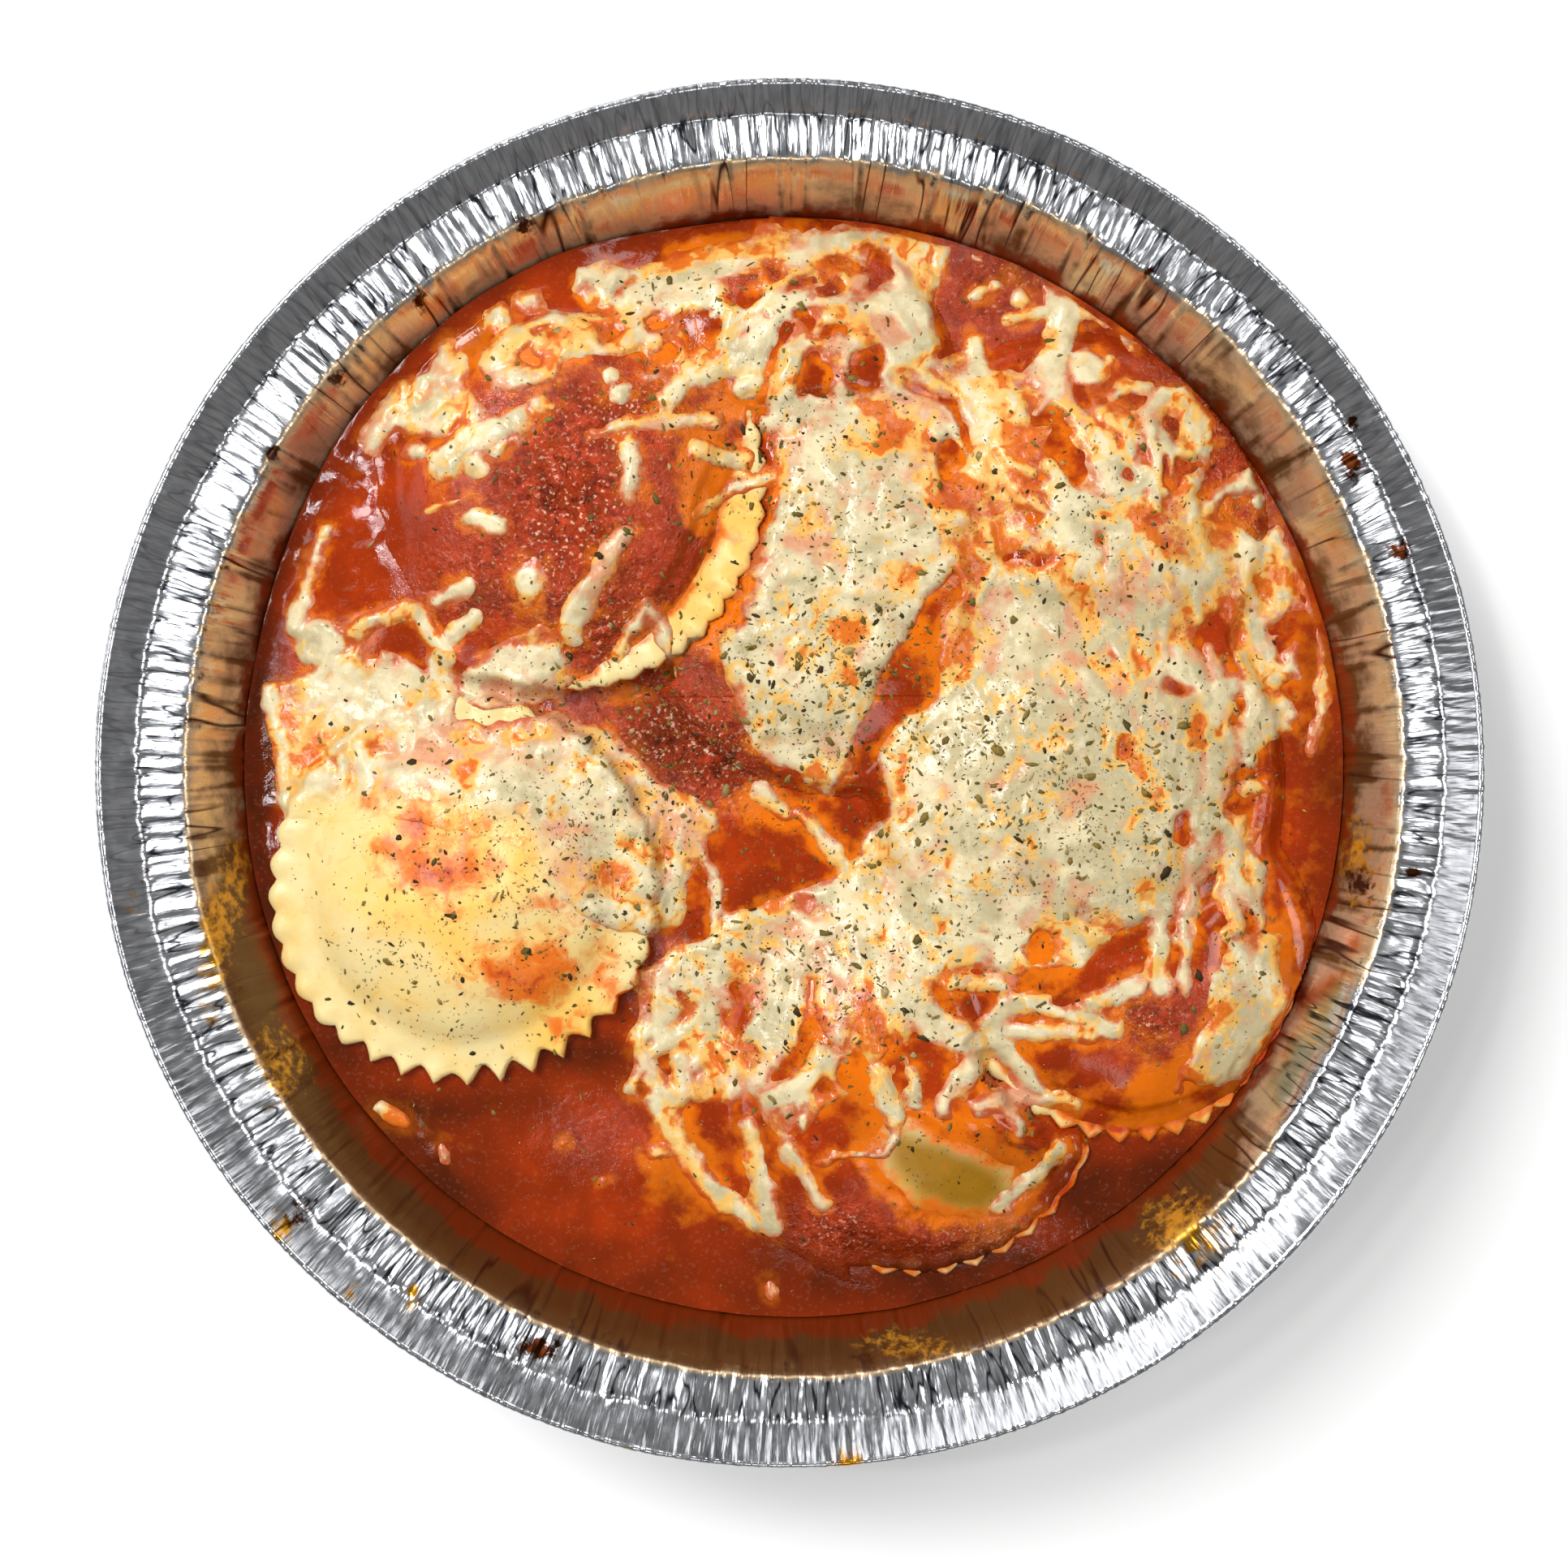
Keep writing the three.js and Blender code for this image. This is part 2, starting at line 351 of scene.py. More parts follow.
@dataclass
class Piece:
    """A finished mesh on its way into the scene."""

    name: str
    slot: Slot
    material: bpy.types.Material
    stands_for: tuple[str, ...] = ()

    def place(self, shape: bmesh.types.BMesh, places: Array, traits: dict[str, Array]) -> None:
        """Makes the object, moves its vertices to their places and files it.

        Args:
            shape: The modelled shape, which is used up.
            places: The vertices' final places in millimetres.
            traits: Values for each vertex that the material reads.
        """
        mesh = bpy.data.meshes.new(self.name)
        shape.to_mesh(mesh)
        shape.free()
        mesh.vertices.foreach_set("co", (places * MM).astype(np.float32).ravel())
        for title, values in traits.items():
            layer = mesh.attributes.new(title, "FLOAT", "POINT")
            layer.data.foreach_set("value", np.asarray(values, dtype=np.float32))
        mesh.polygons.foreach_set("use_smooth", np.ones(len(mesh.polygons), dtype=bool))
        mesh.materials.append(self.material)
        mesh.update()
        mesh.validate()
        thing = bpy.data.objects.new(self.name, mesh)
        bpy.context.scene.collection.objects.link(thing)
        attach(thing, Body.ROOT.value)
        if self.stands_for:
            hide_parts(*self.stands_for)
        triangles = sum(len(face.vertices) - 2 for face in mesh.polygons)
        LOG.info("%s: %d triangles, %s", self.name, triangles, self.slot.value)


def shape_places(shape: bmesh.types.BMesh) -> Array:
    """A shape's vertices as rows of three numbers."""
    return np.array([vertex.co[:] for vertex in shape.verts], dtype=float)


def lower_vertices(shape: bmesh.types.BMesh, made: dict) -> None:
    """Moves the vertices that an extrusion made down by 1."""
    lowered = [part for part in made["geom"] if isinstance(part, bmesh.types.BMVert)]
    bmesh.ops.translate(shape, verts=lowered, vec=(0, 0, -1))


def thicken(shape: bmesh.types.BMesh) -> None:
    """Closes a flat shape at height 0 into a slab that reaches down to -1."""
    lower_vertices(shape, bmesh.ops.extrude_face_region(shape, geom=list(shape.faces), use_keep_orig=True))
    bmesh.ops.recalc_face_normals(shape, faces=shape.faces)


class Slab:
    """Closed thin layers over squares of the grid."""

    MENDS = 8

    def __init__(self, grid: Grid) -> None:
        """Keeps the grid that the layers lie on."""
        self.grid = grid

    def squares(self, mask: Array) -> Array:
        """The squares whose corners are all in a mask, none joined by a corner alone.

        Args:
            mask: True at the grid's places that the layer covers.

        Returns:
            True for each square of the layer.
        """
        kept = mask[:-1, :-1] & mask[1:, :-1] & mask[:-1, 1:] & mask[1:, 1:]
        for _ in range(self.MENDS):
            near_left = kept[:-1, :-1].copy()
            near_right = kept[:-1, 1:].copy()
            far_left = kept[1:, :-1].copy()
            far_right = kept[1:, 1:].copy()
            rising = near_left & far_right & ~near_right & ~far_left
            falling = near_right & far_left & ~near_left & ~far_right
            if not (rising.any() or falling.any()):
                break
            kept[:-1, 1:] |= rising
            kept[:-1, :-1] |= falling
        return kept

    def shape(self, mask: Array) -> bmesh.types.BMesh:
        """A flat slab from height 0 down to -1 over a mask.

        Args:
            mask: True at the grid's places that the layer covers.

        Returns:
            The closed slab.
        """
        kept = self.squares(mask)
        rows, columns = np.nonzero(kept)
        left, right = columns.min(), columns.max() + 1
        near, far = rows.min(), rows.max() + 1
        step, half = self.grid.STEP, self.grid.HALF
        middle = Vector(((left + right) / 2 * step - half, (near + far) / 2 * step - half, 0))
        spread = Matrix.Diagonal(((right - left) * step / 2, (far - near) * step / 2, 1, 1))
        slab = bmesh.new()
        bmesh.ops.create_grid(
            slab,
            x_segments=int(right - left),
            y_segments=int(far - near),
            size=1.0,
            matrix=Matrix.Translation(middle) @ spread,
        )
        window = kept[near:far, left:right].ravel()
        spare = [face for face, keep in zip(slab.faces, window) if not keep]
        bmesh.ops.delete(slab, geom=spare, context="FACES")
        thicken(slab)
        return slab

    def fitted(self, slab: bmesh.types.BMesh, upper: Array, lower: Array) -> Array:
        """The places of a slab's vertices between two fields.

        Args:
            slab: The flat slab.
            upper: Heights of its upper side on the grid.
            lower: Heights of its lower side on the grid.

        Returns:
            One place for each vertex.
        """
        places = shape_places(slab)
        x, y = places[:, 0], places[:, 1]
        top = self.grid.sample(upper, x, y)
        under = self.grid.sample(lower, x, y)
        places[:, 2] = np.where(places[:, 2] > -0.5, top, under)
        return places


@dataclass
class Ravioli:
    """A filled round of pasta: its middle, the height and slope of its rim, its radius and its teeth."""

    name: str
    x: float
    y: float
    z: float
    radius: float
    slope_x: float
    slope_y: float
    tooth_turn: float = 0.0
    tooth_depth: float = 2.3
    tooth_point: float = 1.0
    tooth_side: float = math.radians(-80)
    teeth: int = 36
    flange_half: float = 1.2
    dome_height: float = 6.0
    dome_share: float = 0.77
    belly_depth: float = 3.6
    steps_per_tooth: int = 8
    rumple: Lattice = field(default_factory=lambda: Lattice(5))

    def notch(self, angle: Array) -> Array:
        """How deep the rim is cut back at an angle."""
        phase = angle / TURN * self.teeth - self.tooth_turn / TURN * self.teeth
        zigzag = np.abs(2 * (phase - np.floor(phase)) - 1)
        uneven = 1 + 0.5 * self.rumple.at(angle * 9 + self.x, angle * 0 + self.y, 2.3)
        strong = 0.38 + 0.62 * smooth_step(0.45, 0.92, np.cos(angle - self.tooth_side))
        lobes = 1 - np.sin(math.pi / 2 * zigzag)
        cut = lobes + (1 - zigzag**self.tooth_point - lobes) * smooth_step(0.5, 0.9, strong)
        return self.tooth_depth * strong * cut * uneven

    def share(self, x: Array, y: Array) -> Array:
        """How far out a place lies, from 0 in the middle to 1 on the toothed rim.

        Args:
            x: Places across, in the food's frame.
            y: Places away.

        Returns:
            The share for each place, above 1 outside.
        """
        across, away = x - self.x, y - self.y
        plain = np.hypot(across, away) / self.radius
        cut = self.notch(np.arctan2(away, across)) * smooth_step(0.86, 1.0, plain)
        return plain + cut / self.radius

    def rim(self, x: Array, y: Array) -> Array:
        """The height of the rim's middle plane over a place."""
        return self.z + self.slope_x * (x - self.x) + self.slope_y * (y - self.y)

    def flange(self, share: Array) -> Array:
        """Half the rim's thickness, rounded off at its edge."""
        edge = np.clip((share - 0.95) / 0.05, 0, 1)
        return self.flange_half * np.sqrt(np.clip(1 - edge**2, 0.0, 1))

    def wave(self, x: Array, y: Array, share: Array) -> Array:
        """The rim's slow rise and fall."""
        return 0.35 * self.rumple.at(x + 40, y, 9) * smooth_step(0.7, 0.9, share)

    def upper(self, x: Array, y: Array, share: Array) -> Array:
        """The height of its upper side.

        Args:
            x: Places across.
            y: Places away.
            share: How far out each place lies.

        Returns:
            The heights.
        """
        foot = np.clip(share / self.dome_share, 0, 1)
        dome = self.dome_height * (1 - foot**3.4) ** 1.02
        crimp = 0.22 * np.cos((np.arctan2(y - self.y, x - self.x) - self.tooth_turn) * self.teeth)
        crimp = crimp * smooth_step(0.84, 0.95, share) * smooth_step(1.0, 0.96, share)
        inner = np.clip(1 - share, 0, 0.4) / 0.4
        uneven = 0.95 * self.rumple.layered(x, y, 17, 2) + 0.2 * self.rumple.at(x, y, 5)
        wavy = self.wave(x, y, share)
        return self.rim(x, y) + self.flange(share) + dome + crimp + uneven * inner + wavy

    def lower(self, x: Array, y: Array, share: Array) -> Array:
        """The height of its lower side."""
        foot = np.clip(share / self.dome_share, 0, 1)
        belly = self.belly_depth * (1 - foot**2.4) ** 1.3
        return self.rim(x, y) - self.flange(share) - belly + self.wave(x, y, share)

    def profile(self) -> tuple[Array, Array]:
        """Its rings' shares of the radius and sides: 1 above, 0 on the edge and -1 below.

        Returns:
            The shares and the sides, from the middle of the top to the middle of the bottom.
        """
        above = [*np.linspace(0, 0.8, 22), *np.linspace(0.822, 0.94, 8)]
        above += [0.952, 0.964, 0.976, 0.986, 0.994]
        below = [0.994, 0.98, 0.96, 0.92, 0.85, 0.75, 0.6, 0.4, 0.2, 0]
        shares = np.array([*above, 1.0, *below])
        sides = np.array([1.0] * len(above) + [0.0] + [-1.0] * len(below))
        return shares, sides


class Cheese:
    """Where the melted cheese lies: its patches, strands, drips and the holes in it."""

    PATCHES: list[list[Point]] = [
        [(-77, 58), (-74, 64), (-70, 69), (-65, 70), (-62, 75), (-59, 76), (-57, 70), (-56, 66), (-53, 62),
         (-55, 59), (-60, 57), (-66, 57), (-70, 59), (-73, 55), (-76, 55)],
        [(-56, 73), (-53, 76), (-48, 78), (-42, 80), (-30, 80), (-30, 71), (-35, 72), (-40, 70), (-42, 66),
         (-47, 65), (-52, 66), (-55, 69)],
        [(-39.5, 84), (-38, 88), (-33, 90.5), (-28, 88), (-32, 80), (-36, 82)],
        [(-34, 80), (-28, 88), (-22, 92), (-9, 94), (-4, 98), (4, 98.5), (12, 97), (16, 95), (20, 97),
         (25, 93), (23, 88), (24, 82), (25, 79), (28, 66), (8, 63), (-4, 64), (-8, 69), (-20, 68), (-25, 67),
         (-31, 70)],
        [(-12, 74), (-6, 63), (-3.5, 52), (-3, 47), (-5, 41), (-8, 35), (-11, 28), (-14, 22), (-12, 15),
         (-10, 10), (-8, 6), (-6, 2), (-3, 0), (0, -1), (3, -3), (7, -5), (9, -2), (11, 3), (12, 8),
         (14, 12), (17, 17), (21, 24), (26, 32), (32, 38), (38, 60), (30, 68), (25, 78), (10, 82)],
        [(26, 70), (30, 74), (34, 71), (40, 70), (46, 73), (50, 68), (54, 64), (60, 62), (66, 66), (72, 68),
         (75, 65), (76, 58), (73, 54), (71, 48), (74, 45), (78, 43), (83, 41), (86, 44), (88, 41), (89, 38),
         (91, 30), (91, 22), (89, 10), (60, 6), (32, 22), (26, 40)],
        [(29, 32), (26, 22), (25.5, 14), (24, 10), (20, 9), (16, 6), (15, 0), (16, -5), (17, -9), (12, -13),
         (10, -18), (20, -22), (34, -30), (44, -36), (50, -35), (56, -30), (62, -27), (68, -27), (74, -31),
         (83, -29), (84.5, -25), (84, -17), (80, -14), (83, -12), (80, -8), (76, -7), (78, -2), (82, 3),
         (90, 7), (91, 18), (84, 32)],
        [(-29, -37), (-22, -33), (-16, -31), (-12, -26), (-6, -24), (2, -22), (8, -18), (14, -16), (22, -20),
         (36, -29), (43, -33), (40, -37), (29, -36), (24, -38), (22, -42), (20, -47), (20, -52), (17, -53),
         (14, -51), (9, -58), (4, -62), (0, -66.5), (-4, -65), (-6, -60), (-9, -56), (-13, -60), (-18, -60),
         (-22, -63), (-26, -61), (-30, -58), (-29, -54), (-30, -50), (-27.5, -44)],
        [(-91, 15), (-84, 21), (-76, 22), (-69, 20), (-64, 16), (-60, 9.5), (-50, 8), (-42, 10), (-36, 8),
         (-32, 6), (-27, 1), (-20, -4), (-13, -7), (-13, -12), (-16, -13), (-18, -18), (-19, -25),
         (-20, -28), (-27, -30), (-33, -29), (-40, -24), (-46, -16), (-54, -12), (-66, -10), (-76, -9),
         (-84, -10), (-90.5, -9), (-92, 2), (-93.5, 10)],
        [(76, -30), (84, -29), (87, -30), (86.5, -36), (89, -40), (88, -43), (86, -46), (86, -50),
         (83, -51.5), (81, -55), (77, -57), (72, -56), (69, -55.5), (69.5, -61), (68, -62), (66.5, -57),
         (67, -53), (70, -49), (72, -45), (72, -41), (73, -36), (75, -33)],
        [(-61, 16), (-56, 20), (-50, 22.5), (-45, 25), (-41, 24), (-40, 20), (-38, 15), (-42, 12), (-50, 10),
         (-57, 11), (-60, 13)],
    ]
    STRANDS: list[tuple[list[Point], tuple[float, ...]]] = [
        ([(-25, 85), (-12, 88), (0, 90), (8, 93), (12, 95)], (5, 5)),
        ([(14, 95), (20, 97), (26, 93)], (4, 3)),
        ([(22, 95), (23, 88), (22, 80)], (5, 5.5)),
        ([(-12, 78), (-5, 81.5), (5, 82.5), (15, 82), (20, 84)], (4.5, 4)),
        ([(-12, 74), (-9, 77), (-6, 78)], (3, 3)),
        ([(-61, 53), (-56, 57), (-47, 60)], (7, 5)),
        ([(-52, 55), (-47.5, 57)], (2, 2)),
        ([(-56, 43), (-51, 41.5)], (4.2, 4)),
        ([(-64, 45), (-57, 47)], (1.8, 1.4)),
        ([(-77.5, 24.5), (-68.5, 28)], (4.5, 3)),
        ([(-67, 28), (-61.5, 19)], (3.8, 3.4)),
        ([(-63, 29.5), (-57, 31.5)], (4, 3.6)),
        ([(-60, 23), (-56, 27)], (3.4, 3.2)),
        ([(-28.5, 55.5), (-28, 46.5)], (4, 3.4)),
        ([(-30, 40), (-33, 34), (-37, 28), (-39, 24)], (4.5, 5)),
        ([(-28, 25), (-25, 28), (-23, 24), (-22, 20)], (3.4, 3)),
        ([(-31, 20), (-29, 24)], (3, 2.6)),
        ([(-34, 58), (-28, 59.5), (-20, 60), (-13.5, 60.5)], (2.6, 3.4)),
        ([(-16.5, 55), (-9, 54)], (4.5, 4)),
        ([(-17, 44), (-10, 49), (-5, 51)], (2.6, 4)),
        ([(-22, 64), (-18, 68), (-12, 70), (-5, 76)], (4.5, 4.5)),
        ([(-9, 66), (-3, 70), (2, 74)], (4, 4)),
        ([(38, 80), (45, 81.5)], (2.6, 3)),
        ([(46.5, 91), (48, 85), (49, 82), (48, 78), (46, 72), (46, 66)], (7.5, 5)),
        ([(50, 82), (56, 80.5), (59, 78), (60, 75)], (3, 2.6)),
        ([(32.5, 76), (33, 70)], (3.6, 4)),
        ([(56, 65), (59, 67.5), (63, 67)], (2.8, 2.8)),
        ([(62, 62), (66, 66), (70, 67)], (3.5, 3.5)),
        ([(89, 42), (91, 37), (93, 30), (95, 22), (94.5, 12), (92.5, 3)], (3.4, 2.4)),
        ([(73, 45), (77, 49), (80, 50.5)], (2.6, 4)),
        ([(64, -18), (64, -39)], (4.8, 4.2)),
        ([(68.5, -27), (68.5, -39)], (3, 2.4)),
        ([(-24, -60), (-21, -66), (-17, -73), (-12, -78), (-7, -81.5)], (5, 4)),
        ([(-8, -64), (-6.5, -72), (-4, -82)], (4.2, 4.6)),
        ([(-1, -67), (2, -72), (5, -77)], (3.5, 3.2)),
        ([(4, -70), (8, -68), (14, -68), (18, -65)], (1.8, 1.8)),
        ([(14, -54), (18, -61.5)], (5.4, 4.6)),
        ([(20, -54), (21.5, -59)], (4, 3)),
        ([(20, -40), (25, -45), (31, -48), (33, -51), (29, -55), (26, -60)], (7.5, 4)),
        ([(28, -37.5), (36, -38.5)], (4, 4)),
        ([(34, -45.5), (37, -42.5), (42, -41), (47, -42.5), (52, -44), (56, -46)], (4.4, 4.4)),
        ([(36, -46.5), (44, -46.5), (52, -46.5)], (4, 3.6)),
        ([(52, -42), (60, -38)], (4.6, 4)),
        ([(35, -46), (38, -51), (42.5, -57)], (4.2, 4)),
        ([(32, -59), (40, -58.5), (50, -59.5)], (4, 3.2)),
        ([(38, -60), (40, -63.5)], (3.6, 3.2)),
        ([(36.5, -79), (41, -74), (47.5, -68)], (3.4, 3.6)),
        ([(-84, 41), (-89, 25)], (3.4, 4.2)),
        ([(-94, 14), (-92, 8), (-91.5, 2), (-90.5, -6)], (4.4, 3.6)),
        ([(-18, -12), (-14, -20), (-14, -28)], (3, 2.6)),
        ([(-74, -61), (-69, -64)], (2.4, 2)),
        ([(-6, -4.5), (-1, -8)], (3.4, 2.6)),
        ([(1, -8), (6, -13), (9, -18)], (2.6, 4)),
        ([(-64, 19), (-61, 12)], (4, 4)),
    ]
    DENSE: list[Spot] = [
        Spot(10, 46, 20, 20, 1.0), Spot(4, 14, 13, 18, 1.0), Spot(36, 2, 22, 24, 1.0),
        Spot(50, -14, 22, 16, 0.7), Spot(-2, -32, 26, 10, 0.9), Spot(-32, 2, 16, 12, 0.8),
        Spot(-72, 12, 20, 9, 0.9), Spot(-66, -6, 26, 8, 0.7), Spot(24, -26, 16, 10, 0.8),
        Spot(-8, 92, 16, 4, 0.6), Spot(-26, 86, 8, 6, 0.6), Spot(78, -46, 9, 12, 1.0),
        Spot(70, 36, 14, 8, 0.6), Spot(50, 24, 12, 9, 0.6), Spot(18, 74, 10, 8, 0.5),
        Spot(-66, 62, 10, 7, 0.6), Spot(-46, 70, 10, 6, 0.4), Spot(36, 68, 8, 8, 0.4),
        Spot(-50, 16, 12, 6, 0.7), Spot(-86, 4, 6, 14, 0.5), Spot(-32, -14, 12, 12, 0.9),
        Spot(-42, 4, 14, 8, 0.8),
    ]
    DRIPS: list[Spot] = [
        Spot(-66, 55.5, 3.5, 2), Spot(-55.5, 52, 2.3, 2.3), Spot(-44, 62.5, 2.2, 1.6),
        Spot(-52, 79, 2.9, 2.8), Spot(-46.5, 82, 3.3, 2.3), Spot(26.5, 91, 2, 3.2),
        Spot(36, 86, 1.6, 1.6), Spot(40, 84, 1.5, 2), Spot(39, 88, 1.3, 1.2), Spot(33, 85, 1.4, 1.2),
        Spot(52, 71, 4, 3.8), Spot(56, 72.5, 1.4, 1.4), Spot(71, 61, 3.4, 6), Spot(81, 50.5, 3.2, 2.7),
        Spot(83, 47.5, 1.9, 1.9), Spot(85, 17, 3.2, 4.2), Spot(84, 8, 3.2, 3.2),
        Spot(80, 1.5, 1.8, 1.8), Spot(81, -3.5, 3.6, 2), Spot(-13, -57, 5.2, 3.2),
        Spot(-62.5, -69.5, 1.6, 2.2), Spot(-41.5, -67.5, 1.2, 1), Spot(-34.5, -74, 1, 1),
        Spot(-4, -93.5, 1.4, 1.8), Spot(-84, 22, 5.5, 4.6), Spot(-46, 32, 2.8, 4.6),
        Spot(-30, 64.5, 2.2, 2.2), Spot(-32, 68, 1.8, 1.6), Spot(3.5, 63.5, 2.8, 2.6),
        Spot(-24, -69, 2.2, 1.8), Spot(34, 91, 1.1, 1),
    ]
    HOLES: list[Spot] = [
        Spot(-4, 87.5, 1.8, 1.4), Spot(-9, 83, 2.4, 1.7), Spot(15, 88, 2.6, 3.4),
        Spot(8, 89.6, 2.8, 1.4), Spot(7.5, 83.9, 3.2, 1.1), Spot(-15, 77, 2, 2.8),
        Spot(-22.5, 72.5, 2.2, 1.8), Spot(7, 76, 2.4, 1.1), Spot(4, 68, 3.2, 3.6),
        Spot(12.5, 69.5, 3.4, 4.2), Spot(27.5, 54, 1.8, 3), Spot(66.5, 59.5, 1.2, 2.2),
        Spot(58.5, 51.5, 1.2, 1.4), Spot(41, 36.5, 3.0, 1.4), Spot(67, 13.5, 1.2, 0.9),
        Spot(68, -11, 1.5, 2.4), Spot(89.3, 13.5, 1.8, 2.3), Spot(-10, -43, 2, 4),
        Spot(43.5, -32, 2.4, 2.0), Spot(-20, -42, 0.9, 1.8), Spot(88, 24, 1.4, 2.6),
        Spot(79, 12, 1.2, 2), Spot(73, -22, 1.1, 2.2), Spot(-24, 78, 1.6, 1.2), Spot(-46, 71, 1.8, 1.3),
    ]
    SLITS: list[tuple[list[Point], tuple[float, ...]]] = [
        ([(-1, 77), (-3, 72), (-5, 68), (-6, 63)], (1.2, 1)),
        ([(60, -30), (54, -35), (47, -39.5)], (3.6, 4)),
        ([(11, -51), (12, -55), (10, -59)], (1.6, 1.6)),
        ([(17, -48), (19, -55)], (1.2, 1.4)),
        ([(72, -27), (73, -34)], (3, 3.6)),
        ([(20, 68), (28, 64), (30, 60), (31, 56)], (1, 1.2)),
        ([(3, -38), (3, -44), (6, -48), (8, -50)], (0.7, 0.9)),
    ]


class Look:
    """Soft patches of colour in the sauce, the pasta and the cheese, found on the food's upper side; DARK is
    partly painted shadow.
    """

    OIL: list[Spot] = [
        Spot(-16, 49, 6, 10, 1.0), Spot(37, 49, 9, 9, 0.9), Spot(30, 47, 5, 6, 0.7),
        Spot(27, 21, 6, 6, 1.0), Spot(23, 16, 4, 8, 0.7), Spot(-16, 93, 8, 2.4, 0.9),
        Spot(-11, 63, 4, 4, 1.0), Spot(24, 88, 2.5, 5, 0.8), Spot(-46, 72, 9, 4, 0.9),
        Spot(-36, 76, 6, 3, 0.8), Spot(76, 44, 5, 4, 0.8), Spot(83, 35, 5, 5, 0.7),
        Spot(68, 40, 6, 4, 0.5), Spot(90, -6, 5, 14, 0.3), Spot(88, -30, 5, 16, 0.8),
        Spot(-20, -72, 8, 12, 0.9), Spot(-71, -63, 7, 4, 1.0), Spot(64, -58, 9, 9, 1.3),
        Spot(-7, -8, 7, 4, 0.8), Spot(2, -13, 10, 6, 0.45), Spot(-24, 74, 5, 4, 0.7),
        Spot(-88, 9, 5, 9, 0.6), Spot(-84, 9, 3, 5, 0.6), Spot(44, -33, 5, 6, 0.8),
        Spot(-13, 24, 4, 6, 0.6), Spot(35, 65, 2.4, 6, 0.8), Spot(16, -16, 8, 3, 0.3),
        Spot(14, -45, 4, 6, 0.7), Spot(4, -43, 3, 6, 0.6), Spot(-12, -52, 9, 3, 0.7),
        Spot(12, -55, 4, 5, 0.8), Spot(76, -43, 4, 10, 0.3), Spot(6, 31, 2, 4, 0.7),
        Spot(20, 31, 3, 3, 0.7), Spot(18, 57, 3, 3, 0.6), Spot(13, 64, 2, 2, 0.9),
        Spot(36, -74, 10, 7, 0.25), Spot(50, -84, 12, 5, 0.2), Spot(96, 0, 3, 20, 0.25),
        Spot(-58, 72, 4, 4, 0.5), Spot(-30, 13, 7, 4, 0.8), Spot(-18, 22, 5, 5, 0.8),
        Spot(40, -50, 6, 4, 0.4), Spot(50, -54, 7, 4, 0.2),
    ]
    PINK: list[Spot] = [
        Spot(-71, -6, 6, 6, 0.9), Spot(50, -5, 6, 4, 0.5), Spot(39, 1, 4, 3, 0.5),
        Spot(71, -22, 4, 7, 0.7), Spot(72, 19, 4, 4, 0.6), Spot(4, 86.5, 11, 3.6, 0.9),
        Spot(-27, 92, 4, 2, 0.8), Spot(-2, 50, 5, 8, 0.5), Spot(8, 47, 8, 6, 0.45),
        Spot(-30, 12, 9, 5, 0.4), Spot(-45, 6, 14, 6, 0.7), Spot(-60, 5, 9, 6, 0.4),
        Spot(-62, 2, 10, 5, 0.4), Spot(52, 64, 8, 6, 0.4), Spot(33, -39, 6, 3, 0.8),
        Spot(-14, -56, 6, 3, 0.4), Spot(-34, 32, 5, 9, 0.8), Spot(-25, 24, 4, 5, 0.8),
        Spot(-26, 60, 10, 3, 0.6), Spot(3, -73, 4, 6, 0.6), Spot(40, -59, 10, 5, 0.7),
        Spot(30, -52, 5, 9, 0.4), Spot(-24, -9, 9, 7, 0.5), Spot(-38, -12, 8, 7, 0.35),
        Spot(26, 42, 8, 10, 0.4), Spot(60, 22, 10, 8, 0.3), Spot(42, 14, 8, 6, 0.2),
        Spot(12, 76, 12, 5, 0.4), Spot(-8, -36, 6, 6, 0.3), Spot(56, 30, 8, 6, 0.35),
        Spot(-60, 60, 6, 4, 0.4), Spot(-72, 64, 5, 6, 0.5),
    ]
    STAIN: list[Spot] = [
        Spot(-71, -14, 6, 3, 0.55), Spot(-63, -19, 9, 3.4, 0.95), Spot(-66, -10, 3, 2.4, 0.8),
        Spot(-64, -4, 3, 2, 0.5), Spot(-75, -6, 3, 3, 0.4), Spot(-45, -2, 5, 2, 0.5),
        Spot(-60, -25, 3, 2.4, 0.5), Spot(-42, -24, 3, 2, 0.4), Spot(-50, -35.5, 9, 4.6, 0.85),
        Spot(-46, -39, 6, 3.4, 0.75), Spot(-44, -32, 3, 2, 0.5), Spot(-40, -35, 3, 2, 0.6),
        Spot(-74, -39.5, 2, 1, 0.4), Spot(-60, -38, 2, 1, 0.35), Spot(-69, -26, 3, 2, 0.25),
        Spot(-56, -16, 12, 8, 0.25), Spot(-40, -46, 5, 4, 0.55), Spot(-60, -12, 12, 8, 0.3),
        Spot(-42, -30, 13, 9, 0.3), Spot(-38, -20, 7, 7, 0.35), Spot(-33, -38, 4, 8, 0.5),
        Spot(-70, -2, 7, 5, 0.4), Spot(62, -66, 16, 4, 0.9), Spot(-12, 40, 6, 14, 0.35),
        Spot(30, -62, 12, 5, 0.4), Spot(47, -74, 7, 8, 0.7), Spot(22, -82, 14, 5, 0.7),
        Spot(86, -54, 8, 10, 0.9),
    ]
    WARM: list[Spot] = [
        Spot(-56, -18, 18, 12, 0.9), Spot(-40, -44, 10, 8, 0.8), Spot(-72, -22, 6, 10, 0.4),
        Spot(-14, 42, 9, 20, 1.0), Spot(-46, -36, 14, 8, 0.5), Spot(66, -62, 14, 8, 1.0),
        Spot(30, -76, 18, 8, 1.0),
    ]
